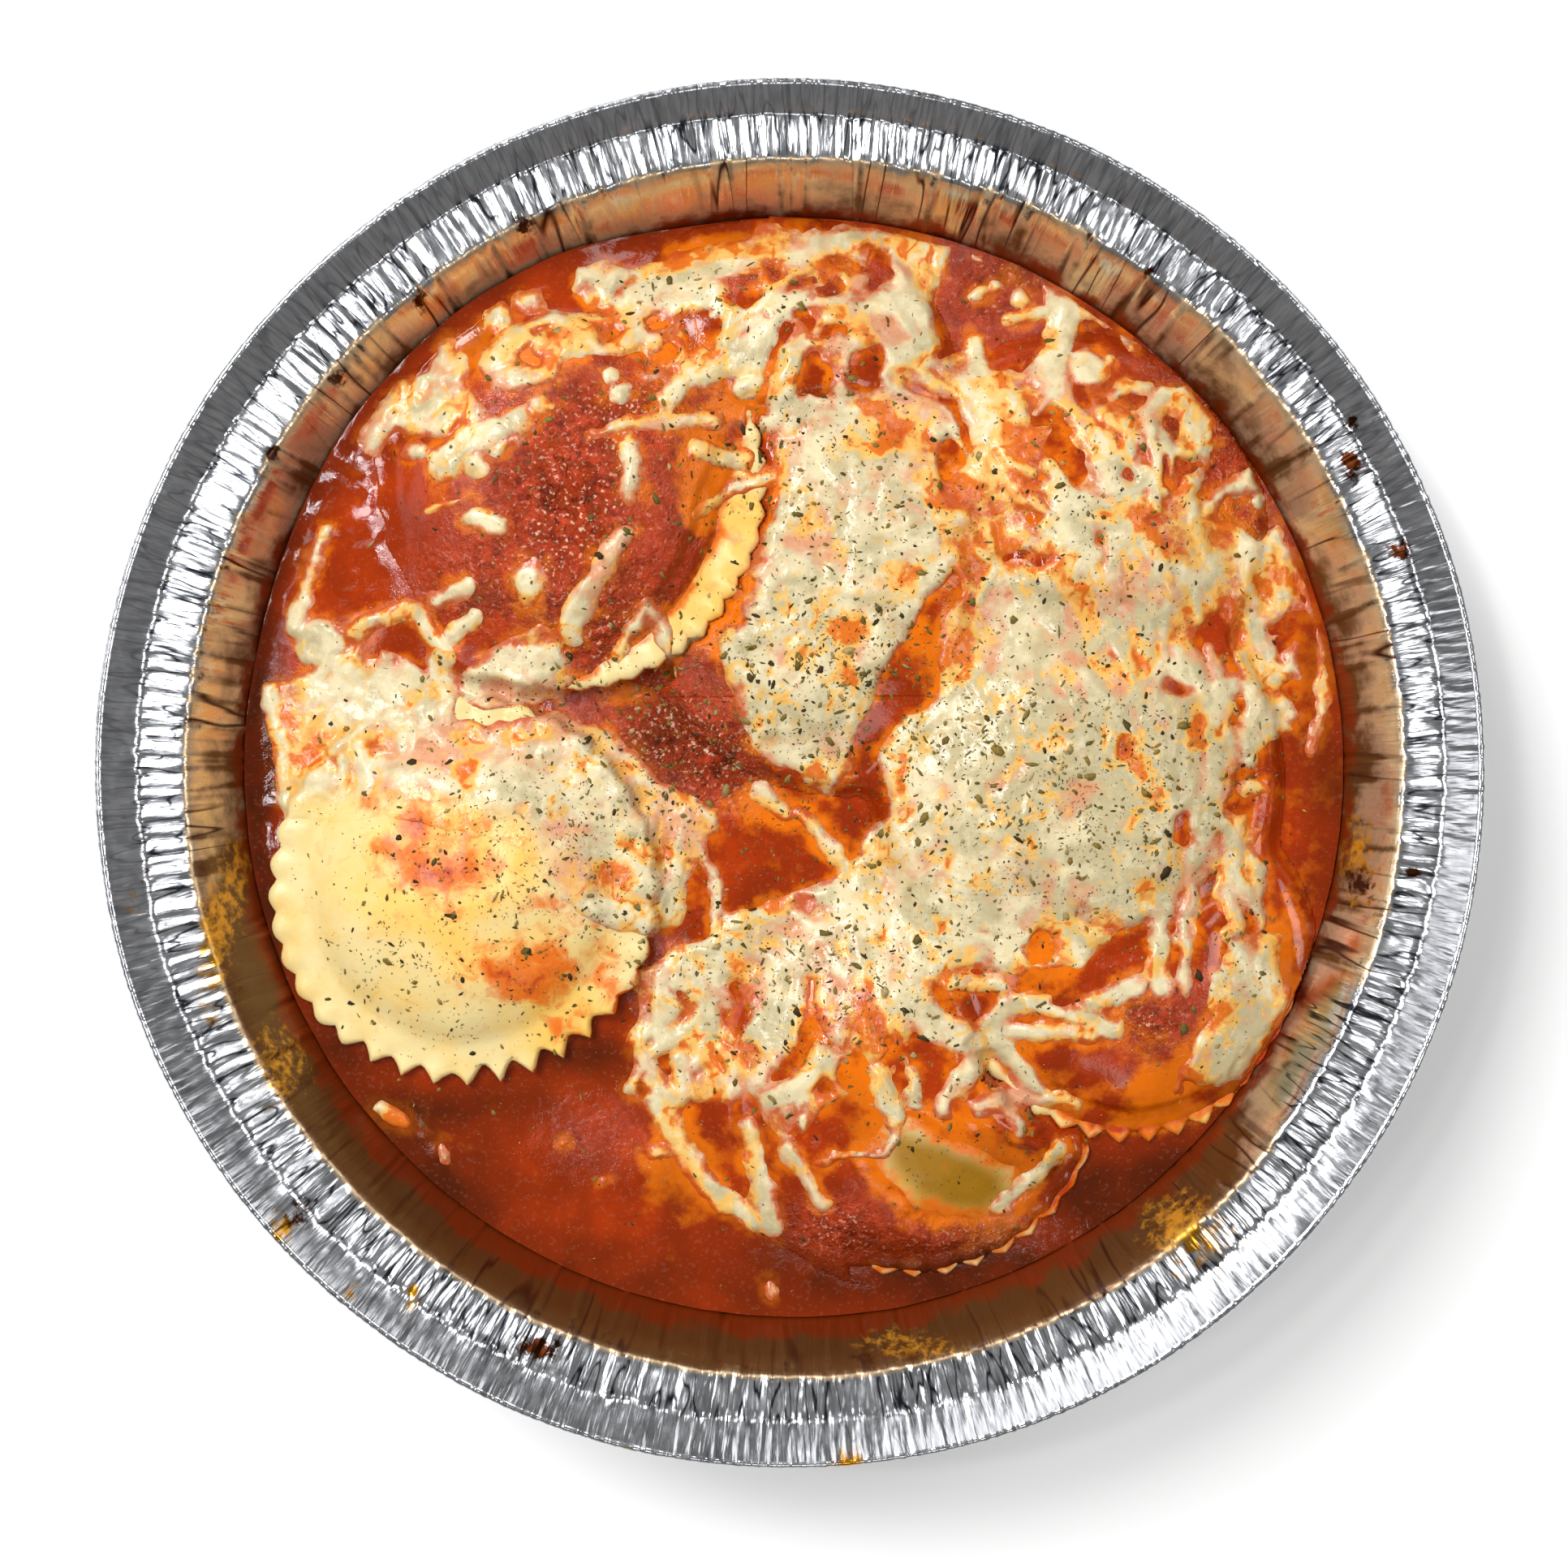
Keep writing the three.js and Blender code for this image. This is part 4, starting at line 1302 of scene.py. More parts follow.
@dataclass(frozen=True)
class CheeseFinish:
    """Melted cheese: cream where thick, yellow and orange where oil gathers, pink over sauce."""

    cream: Colour = Colour(215, 201, 162)
    grey: Colour = Colour(182, 169, 130)
    yellow: Colour = Colour(226, 174, 74)
    orange: Colour = Colour(206, 100, 12)
    pink: Colour = Colour(204, 138, 100)
    edge: Colour = Colour(180, 72, 22)
    pasta: PastaFinish = PastaFinish()

    def make(self) -> bpy.types.Material:
        """The material."""
        finish = Finish("melted_cheese")
        faded = finish.plus(finish.noise(7, 4, 0.58), finish.trait("dull"))
        base = finish.mix(finish.spread(faded, 0.42, 0.66), self.cream, self.grey)
        pinked = finish.plus(finish.trait("pink"), finish.sway(0.3, 4.2, 4, 0.58, 0.5))
        base = finish.tint(base, self.pink, pinked, 0.1, 0.9, 0.9)
        oiled = finish.plus(finish.trait("oil"), finish.sway(0.28, 3.6, 4, 0.58, 0.7))
        base = finish.tint(base, self.yellow, oiled, 0.1, 0.5, 0.8)
        base = finish.tint(base, self.orange, oiled, 0.5, 1.0, 0.95)
        fringe = finish.plus(finish.trait("thin"), finish.sway(0.25, 1.8, 4, 0.6))
        base = finish.tint(base, self.edge, fringe, 0.3, 1.0, 0.9)
        base = finish.mix(finish.trait("dough"), base, self.pasta.colour(finish))
        finish.feed("Base Color", base)
        finish.plain(Roughness=0.24, Specular_IOR_Level=0.45, IOR=1.45, Subsurface_Weight=0.25)
        finish.plain(Subsurface_Radius=(0.003, 0.0018, 0.0009), Subsurface_Scale=0.5)
        soft = finish.bump(finish.noise(2.8, 3, 0.55), 0.45, 0.6)
        finish.feed("Normal", finish.bump(finish.noise(0.8, 2, 0.5), 0.12, 0.4, soft))
        return finish.material


@dataclass(frozen=True)
class FoilFinish:
    """Crinkled aluminium, baked tan and brown where grease has run over it, with painted reflection streaks
    and painted shade in its creases.
    """

    # silver and dull: painted reflection streaks, brighter and duller, along the crinkles
    silver: Colour = Colour(205, 207, 211)
    dull: Colour = Colour(158, 160, 166)
    # Painted shade and dark reflections in the creases of bare foil
    dark: Colour = Colour(46, 48, 54)
    tan: Colour = Colour(216, 188, 152)
    brown: Colour = Colour(94, 60, 26)
    smear: Colour = Colour(126, 46, 6)
    burnt: Colour = Colour(62, 28, 10)
    oil: Colour = Colour(206, 146, 40)

    def make(self) -> bpy.types.Material:
        """The material."""
        finish = Finish("crinkled_foil")
        grease = finish.trait("grease")
        patchy = finish.sway(0.15, 5, 4, 0.6)
        greased = finish.plus(grease, finish.times(patchy, finish.spread(grease, 0.0, 0.3)))
        across = self.round_the_rim(finish)
        on_foil = finish.spread(greased, 0.2, 0.02)
        # Painted reflection: brighter and duller streaks along the crinkles
        streaked = finish.spread(finish.noise(0.9, 2, 0.6, source=across), 0.38, 0.62, 0.0, 0.55)
        base = finish.mix(streaked, self.silver, self.dull)
        # Painted shade: thin dark lines in the creases on bare foil, fainter on the lip
        lines = self.crease_lines(finish, across, 2.4, 0.04)
        lines = finish.times(lines, finish.spread(finish.trait("lip"), 0.0, 1.0, 1.0, 0.35))
        base = finish.mix(finish.times(lines, on_foil), base, self.dark)
        base = finish.tint(base, self.tan, greased, 0.05, 0.35)
        base = finish.tint(base, self.brown, greased, 0.4, 1.0)
        clustered = finish.spread(finish.noise(11, 2, 0.5, source=across), 0.44, 0.6)
        pleats = finish.times(self.crease_lines(finish, across, 6.0, 0.03), clustered)
        base = finish.mix(finish.times(pleats, finish.spread(grease, 0.1, 0.3)), base, self.burnt)
        specks = finish.sway(0.3, 1.8, 4, 0.65)
        base = finish.tint(base, self.oil, finish.plus(finish.trait("oil"), specks), 0.3, 0.9)
        broken = finish.times(patchy, finish.spread(finish.trait("smear"), 0.0, 0.3, 0.0, 2.0))
        base = finish.tint(base, self.smear, finish.plus(finish.trait("smear"), broken), 0.15, 0.95)
        base = finish.tint(base, self.burnt, finish.plus(finish.trait("burn"), specks), 0.3, 0.75)
        finish.feed("Base Color", base)
        dull = finish.spread(greased, 0.0, 0.8, 0.2, 0.36)
        finish.feed("Roughness", finish.plus(dull, finish.sway(0.05, 3, 3)))
        finish.feed("Metallic", finish.spread(greased, 0.1, 0.9, 1.0, 0.4))
        coarse = finish.bump(finish.noise(1.9, 2, 0.5, source=across), 0.4, 0.6)
        finish.feed("Normal", finish.bump(finish.noise(0.7, 2, 0.5, source=across), 0.15, 0.5, coarse))
        return finish.material

    @staticmethod
    def crease_lines(finish: Finish, across: Socket, size: float, width: float) -> Socket:
        """Thin forking lines across the rim.

        Args:
            finish: The material in the making.
            across: Coordinates that run round the pan.
            size: The lines' spacing in millimetres.
            width: Their width as a share of the noise that they follow.

        Returns:
            1 on a line and 0 off it.
        """
        wave = finish.noise(size, 1.5, 0.5, 0.3, across)
        off = finish.math("ABSOLUTE", finish.math("SUBTRACT", wave, 0.5), 0.0)
        return finish.spread(off, width, 0.0)

    @staticmethod
    def round_the_rim(finish: Finish) -> Socket:
        """Coordinates that run round the pan, so that wrinkles lie across its rim.

        Args:
            finish: The material in the making.

        Returns:
            The coordinates in metres.
        """
        parts = finish.tree.nodes.new("ShaderNodeSeparateXYZ")
        finish.tree.links.new(finish.place, parts.inputs[0])
        angle = finish.math("ARCTAN2", parts.outputs["Y"], parts.outputs["X"])
        length = finish.tree.nodes.new("ShaderNodeVectorMath")
        length.operation = "LENGTH"
        finish.tree.links.new(finish.place, length.inputs[0])
        joined = finish.tree.nodes.new("ShaderNodeCombineXYZ")
        finish.tree.links.new(finish.times(angle, 0.11), joined.inputs["X"])
        finish.tree.links.new(finish.times(length.outputs["Value"], 0.16), joined.inputs["Y"])
        return joined.outputs["Vector"]


@dataclass(frozen=True)
class HerbFinish:
    """Dried herbs and pepper, from near black to olive and straw."""

    black: Colour = Colour(56, 42, 20)
    green: Colour = Colour(94, 82, 34)
    olive: Colour = Colour(130, 108, 50)
    straw: Colour = Colour(172, 148, 98)

    def make(self) -> bpy.types.Material:
        """The material."""
        finish = Finish("dried_herbs")
        tone = finish.trait("tone")
        base = finish.mix(finish.spread(tone, 0.1, 0.3), self.black, self.green)
        base = finish.tint(base, self.olive, tone, 0.35, 0.6)
        base = finish.tint(base, self.straw, tone, 0.84, 0.98)
        finish.feed("Base Color", finish.tint(base, self.black, finish.noise(0.5, 2), 0.4, 0.7, 0.4))
        finish.plain(Roughness=0.7, Specular_IOR_Level=0.15)
        finish.feed("Normal", finish.bump(finish.noise(0.4, 2), 0.08, 0.6))
        return finish.material


def rolled_disc(rows: int, steps: int) -> bmesh.types.BMesh:
    """Rolls a strip of squares into a closed disc that is still to be shaped.

    Args:
        rows: How many rings of vertices it has, with a pole for the first and the last.
        steps: How many steps its full turn has.

    Returns:
        The disc, whose vertices say their step in x and their ring in y.
    """
    strip = bmesh.new()
    spread = Matrix.Diagonal((steps / 2, (rows - 1) / 2, 1, 1))
    middle = Matrix.Translation((steps / 2, (rows - 1) / 2, 0))
    bmesh.ops.create_grid(strip, x_segments=steps, y_segments=rows - 1, size=1.0, matrix=middle @ spread)
    strip.verts.ensure_lookup_table()
    width = steps + 1
    seam = {strip.verts[row * width + steps]: strip.verts[row * width] for row in range(rows)}
    poles = [strip.verts[:steps], strip.verts[(rows - 1) * width : rows * width - 1]]
    for pole in poles:
        seam.update({corner: pole[0] for corner in pole[1:]})
    seam[strip.verts[steps]] = strip.verts[0]
    bmesh.ops.weld_verts(strip, targetmap=seam)
    return strip


def disc_rows(shape: bmesh.types.BMesh, steps: int) -> tuple[Array, Array]:
    """Reads a rolled disc's vertices.

    Args:
        shape: The rolled disc.
        steps: How many steps its full turn has.

    Returns:
        The ring and the angle of each vertex.
    """
    flat = shape_places(shape)
    ring = np.rint(flat[:, 1]).astype(int)
    angle = flat[:, 0] / steps * TURN
    return ring, angle


class Creases:
    """Irregular zigzag creases round a ring, which change and fork from its inner to its outer edge."""

    def __init__(self, seed: int, circumference: float, least: float, most: float, levels: int = 4) -> None:
        """Draws the creases' places.

        Args:
            seed: What the places are drawn from.
            circumference: The ring's length in millimetres.
            least: The closest that two creases lie.
            most: The furthest that two creases lie.
            levels: How many times the pattern is drawn from the inner to the outer edge.
        """
        dice = np.random.default_rng(seed)
        gaps = dice.uniform(least, most, int(2.4 * circumference / (least + most)))
        places = np.cumsum(gaps)
        places = places[places < circumference - least]
        count = len(places) - len(places) % 2
        self.circumference = circumference
        self.levels = []
        side = np.where(np.arange(count) % 2 == 0, 1.0, -1.0)
        size = dice.uniform(0.15, 1.0, count)
        drift = np.zeros(count)
        for _ in range(levels):
            drift = drift + dice.normal(0, 0.22 * least, count)
            height = side * np.clip(size + dice.normal(0, 0.22, count), 0.05, 1.1)
            self.levels.append((np.sort((places[:count] + drift) % circumference), height))

    def at(self, angle: Array, share: Array) -> Array:
        """The creases' height.

        Args:
            angle: Angles round the ring.
            share: 0 on the inner edge to 1 on the outer edge.

        Returns:
            Heights of about -1 to 1.
        """
        whole = self.circumference
        along = (angle % TURN) / TURN * whole
        rows = [np.interp(along, places, heights, period=whole) for places, heights in self.levels]
        level = np.clip(share, 0, 1) * (len(rows) - 1.001)
        low = level.astype(int)
        part = smooth_step(0, 1, level - low)
        stack = np.array(rows)
        index = np.arange(len(angle))
        return stack[low, index] * (1 - part) + stack[low + 1, index] * part


@dataclass
class FoilPan:
    """The thin round pan: flat base, leaning wall, ledge, raised lip and its rolled edge."""

    base_radius: float = 89.5
    wall_top_radius: float = 103.6
    ledge_height: float = 40.0
    ledge_outer_radius: float = 111.9
    lip_radius: float = 117.0
    lip_height: float = 44.1
    bead: float = 0.6
    sheet: float = 0.3
    steps: int = 1260
    ledge_round: float = 678.0
    lip_round: float = 722.0
    wall_round: float = 620.0
    ledge_creases: float = 0.3
    wide_creases: float = 0.17
    lip_creases: float = 0.12
    wall_ripple: float = 0.12
    burns: list[Spot] = field(default_factory=lambda: [
        Spot(95.8, 53, 2.4, 4, 0.9), Spot(104, 38, 2.4, 2.4, 0.9), Spot(107, -17, 3, 0.9, 1.0),
        Spot(99.5, -19, 1.6, 3, 1.0), Spot(-84, -75, 2.6, 3, 0.7), Spot(-110, -17, 1.6, 2.5, 0.5),
        Spot(-43, -98, 5, 3, 0.9), Spot(-89, 55, 1.4, 1.4, 0.9), Spot(-46, 94, 2, 1.6, 0.9),
        Spot(-64, 81, 1.4, 1.4, 0.9), Spot(-78, 68, 1.6, 1.4, 0.9), Spot(-97, 12, 1.2, 3, 0.5),
        Spot(96, 60, 1.4, 1.4, 0.8), Spot(62, 86, 1.2, 1.2, 0.7), Spot(12, -101, 3, 1.2, 0.5),
    ])
    oil_spots: list[Spot] = field(default_factory=lambda: [
        Spot(-86, -77, 3, 3, 0.8), Spot(-64.5, -89.5, 1.6, 3.4, 0.9), Spot(-74.5, -87.5, 1.4, 2, 0.7),
        Spot(10, -117, 4, 3.4, 1.0), Spot(-28, -115, 2, 3, 0.7), Spot(-112, -22, 2, 3, 0.5),
        Spot(99.5, -15, 3, 12, 0.7), Spot(68, -79, 8, 7, 0.8), Spot(-99, -30, 3, 14, 0.8),
        Spot(-96, -14, 3, 8, 0.6), Spot(-88, -50, 5, 10, 0.6), Spot(20, -99, 12, 2, 0.6),
    ])
    browned_spots: list[Spot] = field(default_factory=lambda: [
        Spot(98, 12, 8, 34, 0.7), Spot(78, 66, 16, 16, 0.4), Spot(-76, 70, 18, 16, 0.35),
        Spot(70, -76, 18, 14, 0.2),
    ])
    fold_marks: Array | None = None
    clean_spots: list[Spot] = field(default_factory=lambda: [
        Spot(94, -44, 6, 8, 1.6), Spot(87, -56, 6, 7, 1.4), Spot(97, 24, 3, 12, 0.4),
        Spot(-20, 99, 16, 3, 0.3),
    ])

    def wall_radius(self, height: float | Array) -> float | Array:
        """The radius of the wall's middle sheet at a height."""
        share = (height - 2) / (self.ledge_height - 2)
        return self.base_radius + 1 + share * (self.wall_top_radius - self.base_radius - 1)

    def middle_line(self) -> list[Point]:
        """Radius and height along the sheet's middle, from the base's middle to the rolled edge.

        Returns:
            The line's points.
        """
        half = self.sheet / 2
        line = [(radius, half) for radius in (0, 20, 40, 60, 75, 84, 87)]
        line += [(88.6, half + 0.2), (89.7, 0.9), (90.4, 1.9)]
        line += [(self.wall_radius(height), height) for height in np.linspace(4, 38.4, 13)]
        line += [(self.wall_top_radius + 0.15, 39.3), (104.1, 39.85), (104.8, self.ledge_height)]
        line += [(radius, self.ledge_height + 0.05) for radius in np.linspace(105.6, 111.2, 8)]
        line += [(self.ledge_outer_radius, 40.2), (112.4, 40.6)]
        for share in np.linspace(0.12, 1, 8):
            line.append((112.4 + share * (self.lip_radius - 113.0), 40.6 + share * (self.lip_height - 40.6)))
        for turn in np.linspace(0.15, 1.0, 6):
            angle = math.pi * (0.75 - 1.15 * turn)
            bead_across = self.lip_radius - 0.15 + self.bead * math.cos(angle)
            line.append((bead_across, self.lip_height - 0.25 + self.bead * math.sin(angle)))
        return line

    def build(self, finish: bpy.types.Material) -> None:
        """Makes the pan.

        Args:
            finish: Its material.
        """
        line = np.array(self.middle_line())
        last = len(line) - 1
        upper = list(range(len(line)))
        under = [index for index in range(last, 0, -1) if index % 2 == 0 or index > last - 7] + [0]
        order = np.array(upper + under)
        sides = np.array([1.0] * len(upper) + [-1.0] * len(under))
        disc = rolled_disc(len(order), self.steps)
        row, angle = disc_rows(disc, self.steps)
        ring, side = order[row], sides[row]
        along = np.gradient(line, axis=0)
        along /= np.linalg.norm(along, axis=1)[:, None]
        normal = np.stack([-along[:, 1], along[:, 0]], axis=1)
        lift = self.crinkle(angle, line[ring, 0], line[ring, 1]) + self.sheet / 2 * side
        lift = np.where(ring == 0, self.sheet / 2 * side, lift)
        radius = line[ring, 0] + normal[ring, 0] * lift
        height = line[ring, 1] + normal[ring, 1] * lift
        lip = smooth_step(self.ledge_outer_radius - 3, self.lip_radius - 1, line[ring, 0])
        ledge = smooth_step(self.wall_top_radius, self.ledge_outer_radius, line[ring, 0])
        shift_x = BOWL_SHIFT[0] * (1 - ledge) + LEDGE_SHIFT[0] * ledge * (1 - lip)
        shift_y = BOWL_SHIFT[1] * (1 - ledge) + LEDGE_SHIFT[1] * ledge * (1 - lip)
        wobble = 0.25 * Lattice(71).at(np.cos(angle) * 60, np.sin(angle) * 60, 22) * ledge
        x = (radius + wobble) * np.cos(angle) + shift_x
        y = (radius + wobble) * np.sin(angle) + shift_y
        places = np.stack([x, y, np.maximum(height, 0.0)], axis=1)
        piece = Piece("foil_pan_crinkled", Slot.FOIL, finish, ("foil_pan",))
        piece.place(disc, places, self.stains(x, y, height, line[ring, 0], side))

    def crinkle(self, angle: Array, radius: Array, height: Array) -> Array:
        """How far the sheet is creased off its middle line.

        Args:
            angle: Angles round the pan.
            radius: The middle line's radius.
            height: The middle line's height.

        Returns:
            Distances in millimetres.
        """
        ledge_share = (radius - 104) / 8
        ledge = Creases(61, self.ledge_round, 0.8, 2.1, 3).at(angle, ledge_share)
        wide = Creases(62, self.ledge_round, 2.0, 7.0, 3).at(angle, ledge_share)
        on_ledge = smooth_step(self.wall_top_radius - 0.2, 105.6, radius) * smooth_step(113.0, 110.8, radius)
        ledge_lift = (self.ledge_creases * ledge + self.wide_creases * wide) * on_ledge
        lip = Creases(63, self.lip_round, 0.55, 1.25).at(angle, (radius - 112) / 5)
        lip_lift = self.lip_creases * lip * smooth_step(111.2, 113.0, radius)
        wall_share = (height - 12) / 28
        self.fold_marks = self.folds(angle, wall_share)
        ripple = self.wall_ripple * Creases(65, self.wall_round, 3, 11, 3).at(angle, wall_share)
        on_wall = smooth_step(2, 10, height) * smooth_step(39.6, 38.0, height)
        on_wall = on_wall * smooth_step(108, 104.5, radius)
        return ledge_lift + lip_lift + (self.fold_marks + ripple) * on_wall

    def folds(self, angle: Array, share: Array) -> Array:
        """Clustered pleats that run down the wall from the ledge.

        Args:
            angle: Angles round the pan.
            share: 0 low on the wall to 1 at the ledge.

        Returns:
            Their height in millimetres.
        """
        dice = np.random.default_rng(67)
        total = np.zeros_like(angle)
        place = 0.0
        while place < TURN:
            for _ in range(dice.integers(1, 5)):
                middle = place + dice.normal(0, 0.02)
                width = dice.uniform(0.0035, 0.006)
                depth = dice.uniform(0.2, 0.6) * dice.choice([-1.0, 1.0], p=[0.35, 0.65])
                reach = dice.uniform(0.1, 0.75)
                lean = dice.normal(0, 0.012)
                away = (angle - middle - lean * (1 - share) + math.pi) % TURN - math.pi
                fade = smooth_step(reach - 0.15, min(reach + 0.4, 1.0), share)
                total += depth * np.exp(-((away / width) ** 2)) * fade
            place += dice.uniform(0.05, 0.13)
        return total

    def stains(self, x: Array, y: Array, height: Array, radius: Array, side: Array) -> dict[str, Array]:
        """What has run over the foil and baked on.

        Args:
            x: Places across.
            y: Places away.
            height: Heights.
            radius: The middle line's radius.
            side: Above 0 on the upper side.

        Returns:
            The traits that the foil's finish reads.
        """
        clouds = Lattice(73)
        inside = (side > 0) & (radius < self.ledge_outer_radius + 6)
        wall = smooth_step(105.2, 104.0, radius)
        low = smooth_step(39, 27, height)
        left = smooth_step(-20, -75, x) * smooth_step(10, -50, y)
        near = smooth_step(-40, -90, y)
        side = np.where(side > 0, side + spot_field(x, y, self.browned_spots), side)
        clouded = clouds.layered(x, y, 12, 3)
        darkened = np.maximum(1.35 * left, 1.2 * near) + 0.7 * (side - 1)
        grease = wall * (0.25 + 0.42 * low + 0.72 * darkened + 0.24 * clouded)
        grease = grease - 0.4 * wall * spot_field(x, y, self.clean_spots)
        marks = np.clip(np.abs(self.fold_marks) / 0.35, 0, 1) * wall
        rim_film = 0.06 * smooth_step(0.5, 1.0, clouds.layered(x + 50, y, 9, 3))
        climb = 27.2 + 1.8 * clouds.layered(x * 1.3, y * 1.3 + 40, 9, 3) + 2.6 * near + 2.0 * left
        smear = wall * smooth_step(climb + 3.4, climb - 2.4, height)
        burn = spot_field(x, y, self.burns) + 0.42 * marks * smooth_step(36, 39, height)
        oil = spot_field(x, y, self.oil_spots)
        return {
            "lip": np.where(side > 0, smooth_step(111.5, 113, radius), 1.0),
            "grease": np.where(inside, np.clip(grease + 0.35 * marks + rim_film, 0, 1.2), 0.0),
            "smear": np.where(inside, smear, 0.0),
            "burn": np.where(inside, np.clip(burn, 0, 1.2), 0.0),
            "oil": np.where(inside, np.clip(oil, 0, 1.2), 0.0),
        }


@dataclass
class Meal:
    """Everything in the pan: the pasta, the sauce, the cheese and what is scattered on it."""

    food: Food
    sauce: bpy.types.Material
    pasta: bpy.types.Material
    cheese: bpy.types.Material
    herbs: bpy.types.Material
    pan: FoilPan
    pool_squares: int = 290
    feather: float = 2.0
    wall_gap: float = 0.35
    squeeze: float = 0.8
    pool_base: float = 1.2
    pool_base_radius: float = 90.0
    seam_near: float = 12.2
    seam_far: float = 12.9

    def in_pan(self, places: Array) -> Array:
        """Moves places from the bowl's frame into the object's, with nothing through the wall.

        Args:
            places: Places in the bowl's frame.

        Returns:
            Places in the object's frame.
        """
        reach = np.hypot(places[:, 0], places[:, 1])
        limit = self.pan.wall_radius(places[:, 2]) - self.wall_gap
        squeezed = limit - self.squeeze * np.exp(-np.maximum(reach - limit + self.squeeze, 0) / self.squeeze)
        held = np.where(reach > limit - self.squeeze, squeezed, reach) / np.maximum(reach, 1e-6)
        x = places[:, 0] * held + BOWL_SHIFT[0]
        y = places[:, 1] * held + BOWL_SHIFT[1]
        return np.stack([x, y, places[:, 2]], axis=1)

    def colour_traits(self, places: Array) -> dict[str, Array]:
        """The sauce's colour traits at some places.

        Args:
            places: Places in the bowl's frame.

        Returns:
            The traits that the sauce's finish reads.
        """
        food, grid = self.food, self.food.grid
        x, y = places[:, 0], places[:, 1]
        clouds = food.relief.layered(x + 11, y + 5, 13, 3)
        fine = food.fine.layered(x, y, 4, 2)
        depth = grid.sample(food.sauce_top - food.pasta_top, x, y)
        thin = smooth_step(0.9, 0.1, depth)
        rim = smooth_step(88, 98, np.hypot(x, y))
        low_left = smooth_step(10, -60, y) * smooth_step(30, -40, x)
        halo = smooth_step(-2.6, -0.2, grid.sample(food.inside, x, y))
        near_bare = smooth_step(-7, 0, Shapes.outline(x, y, Food.BARE_PATCH))
        oil = 0.85 * spot_field(x, y, Look.OIL) + 0.35 * thin + 0.45 * halo + 0.5 * near_bare
        oil = oil + 0.16 * clouds + 0.1 * fine - 0.06
        # Painted shadow under the ravioli's edges and in the gaps, plus darker sauce along the wall and to
        # the lower left
        dark = spot_field(x, y, Look.DARK) + 0.35 * rim + 0.3 * low_left + 0.3 * clouds - 0.05
        chunky = spot_field(x, y, Look.CHUNKY)
        pulp = 0.02 + chunky * (1 + 0.3 * clouds)
        return {
            "oil": np.clip(oil, -0.2, 1.3),
            "dark": np.clip(dark, 0, 1),
            "pulp": np.clip(pulp, 0, 1.1),
            # Painted glints on the chunky pulp
            "painted_glint": np.clip(0.03 + chunky**2 * (0.8 + 0.6 * fine), 0, 1),
        }

    def build_pool(self) -> None:
        """The sauce in the bowl, from its level down to the base."""
        food = self.food
        pool = bmesh.new()
        bmesh.ops.create_grid(pool, x_segments=self.pool_squares, y_segments=self.pool_squares, size=1.0)
        border = [edge for edge in pool.edges if edge.is_boundary]
        for edge in border:
            edge.smooth = False
        lower_vertices(pool, bmesh.ops.extrude_edge_only(pool, edges=border))
        bmesh.ops.edgeloop_fill(pool, edges=[edge for edge in pool.edges if edge.is_boundary])
        bmesh.ops.recalc_face_normals(pool, faces=pool.faces)
        flat = shape_places(pool)
        across, away = flat[:, 0], flat[:, 1]
        round_x = across * np.sqrt(1 - away**2 / 2)
        round_y = away * np.sqrt(1 - across**2 / 2)
        top = flat[:, 2] > -0.5
        reach = np.where(top, FOOD_REACH, self.pool_base_radius)
        x, y = round_x * reach, round_y * reach
        level = food.grid.sample(food.pool, x, y)
        lean = 0.0034 * np.clip(level - SAUCE_LEVEL - 0.7, 0, 8)
        out = np.where(top, 1 + lean * smooth_step(0.94, 1.0, np.hypot(round_x, round_y)), 1.0)
        places = np.stack([x * out, y * out, np.where(top, level, self.pool_base)], axis=1)
        piece = Piece("sauce_pool", Slot.SAUCE, self.sauce, ("sauce",))
        piece.place(pool, self.in_pan(places), self.colour_traits(places))

    def build_pasta(self) -> None:
        """Every round of pasta."""
        food = self.food
        for index, ravioli in enumerate(food.pasta):
            steps = ravioli.teeth * ravioli.steps_per_tooth
            shares, sides = ravioli.profile()
            disc = rolled_disc(len(shares), steps)
            row, angle = disc_rows(disc, steps)
            share, side = shares[row], sides[row]
            cut = ravioli.notch(angle) * smooth_step(0.86, 1.0, share)
            radius = share * ravioli.radius - cut
            x = ravioli.x + radius * np.cos(angle)
            y = ravioli.y + radius * np.sin(angle)
            top = food.pasta_height(index, x, y, share)
            under = np.minimum(ravioli.lower(x, y, share), top - 0.3)
            height = np.where(side > 0.5, top, np.where(side < -0.5, under, (top + under) / 2))
            places = np.stack([x, y, np.maximum(height, 1.4)], axis=1)
            grown = Piece(f"{ravioli.name}_pasta", Slot.PASTA, self.pasta, (ravioli.name,))
            grown.place(disc, self.in_pan(places), self.pasta_traits(x, y))

    def pasta_traits(self, x: Array, y: Array) -> dict[str, Array]:
        """The pasta's colour traits.

        Args:
            x: Places across in the bowl's frame.
            y: Places away.

        Returns:
            The traits that the pasta's finish reads.
        """
        food = self.food
        clouds = food.relief.layered(x + 70, y, 8, 3)
        depth = food.grid.sample(food.sauce_top - food.pasta_top, x, y)
        wet = smooth_step(-0.75, 0.1, depth)
        stain = spot_field(x, y, Look.STAIN) + 0.8 * wet + 0.12 * clouds - 0.1
        olive = smooth_step(-1.5, 5, Shapes.outline(x, y, Food.BARE_PATCH))
        warm = 0.25 + 0.8 * spot_field(x, y, Look.WARM) + 0.2 * clouds
        return {
            "stain": np.clip(stain, 0, 1.4),
            "olive": np.clip(olive, 0, 1),
            "warm": np.clip(warm, 0, 1.2),
        }

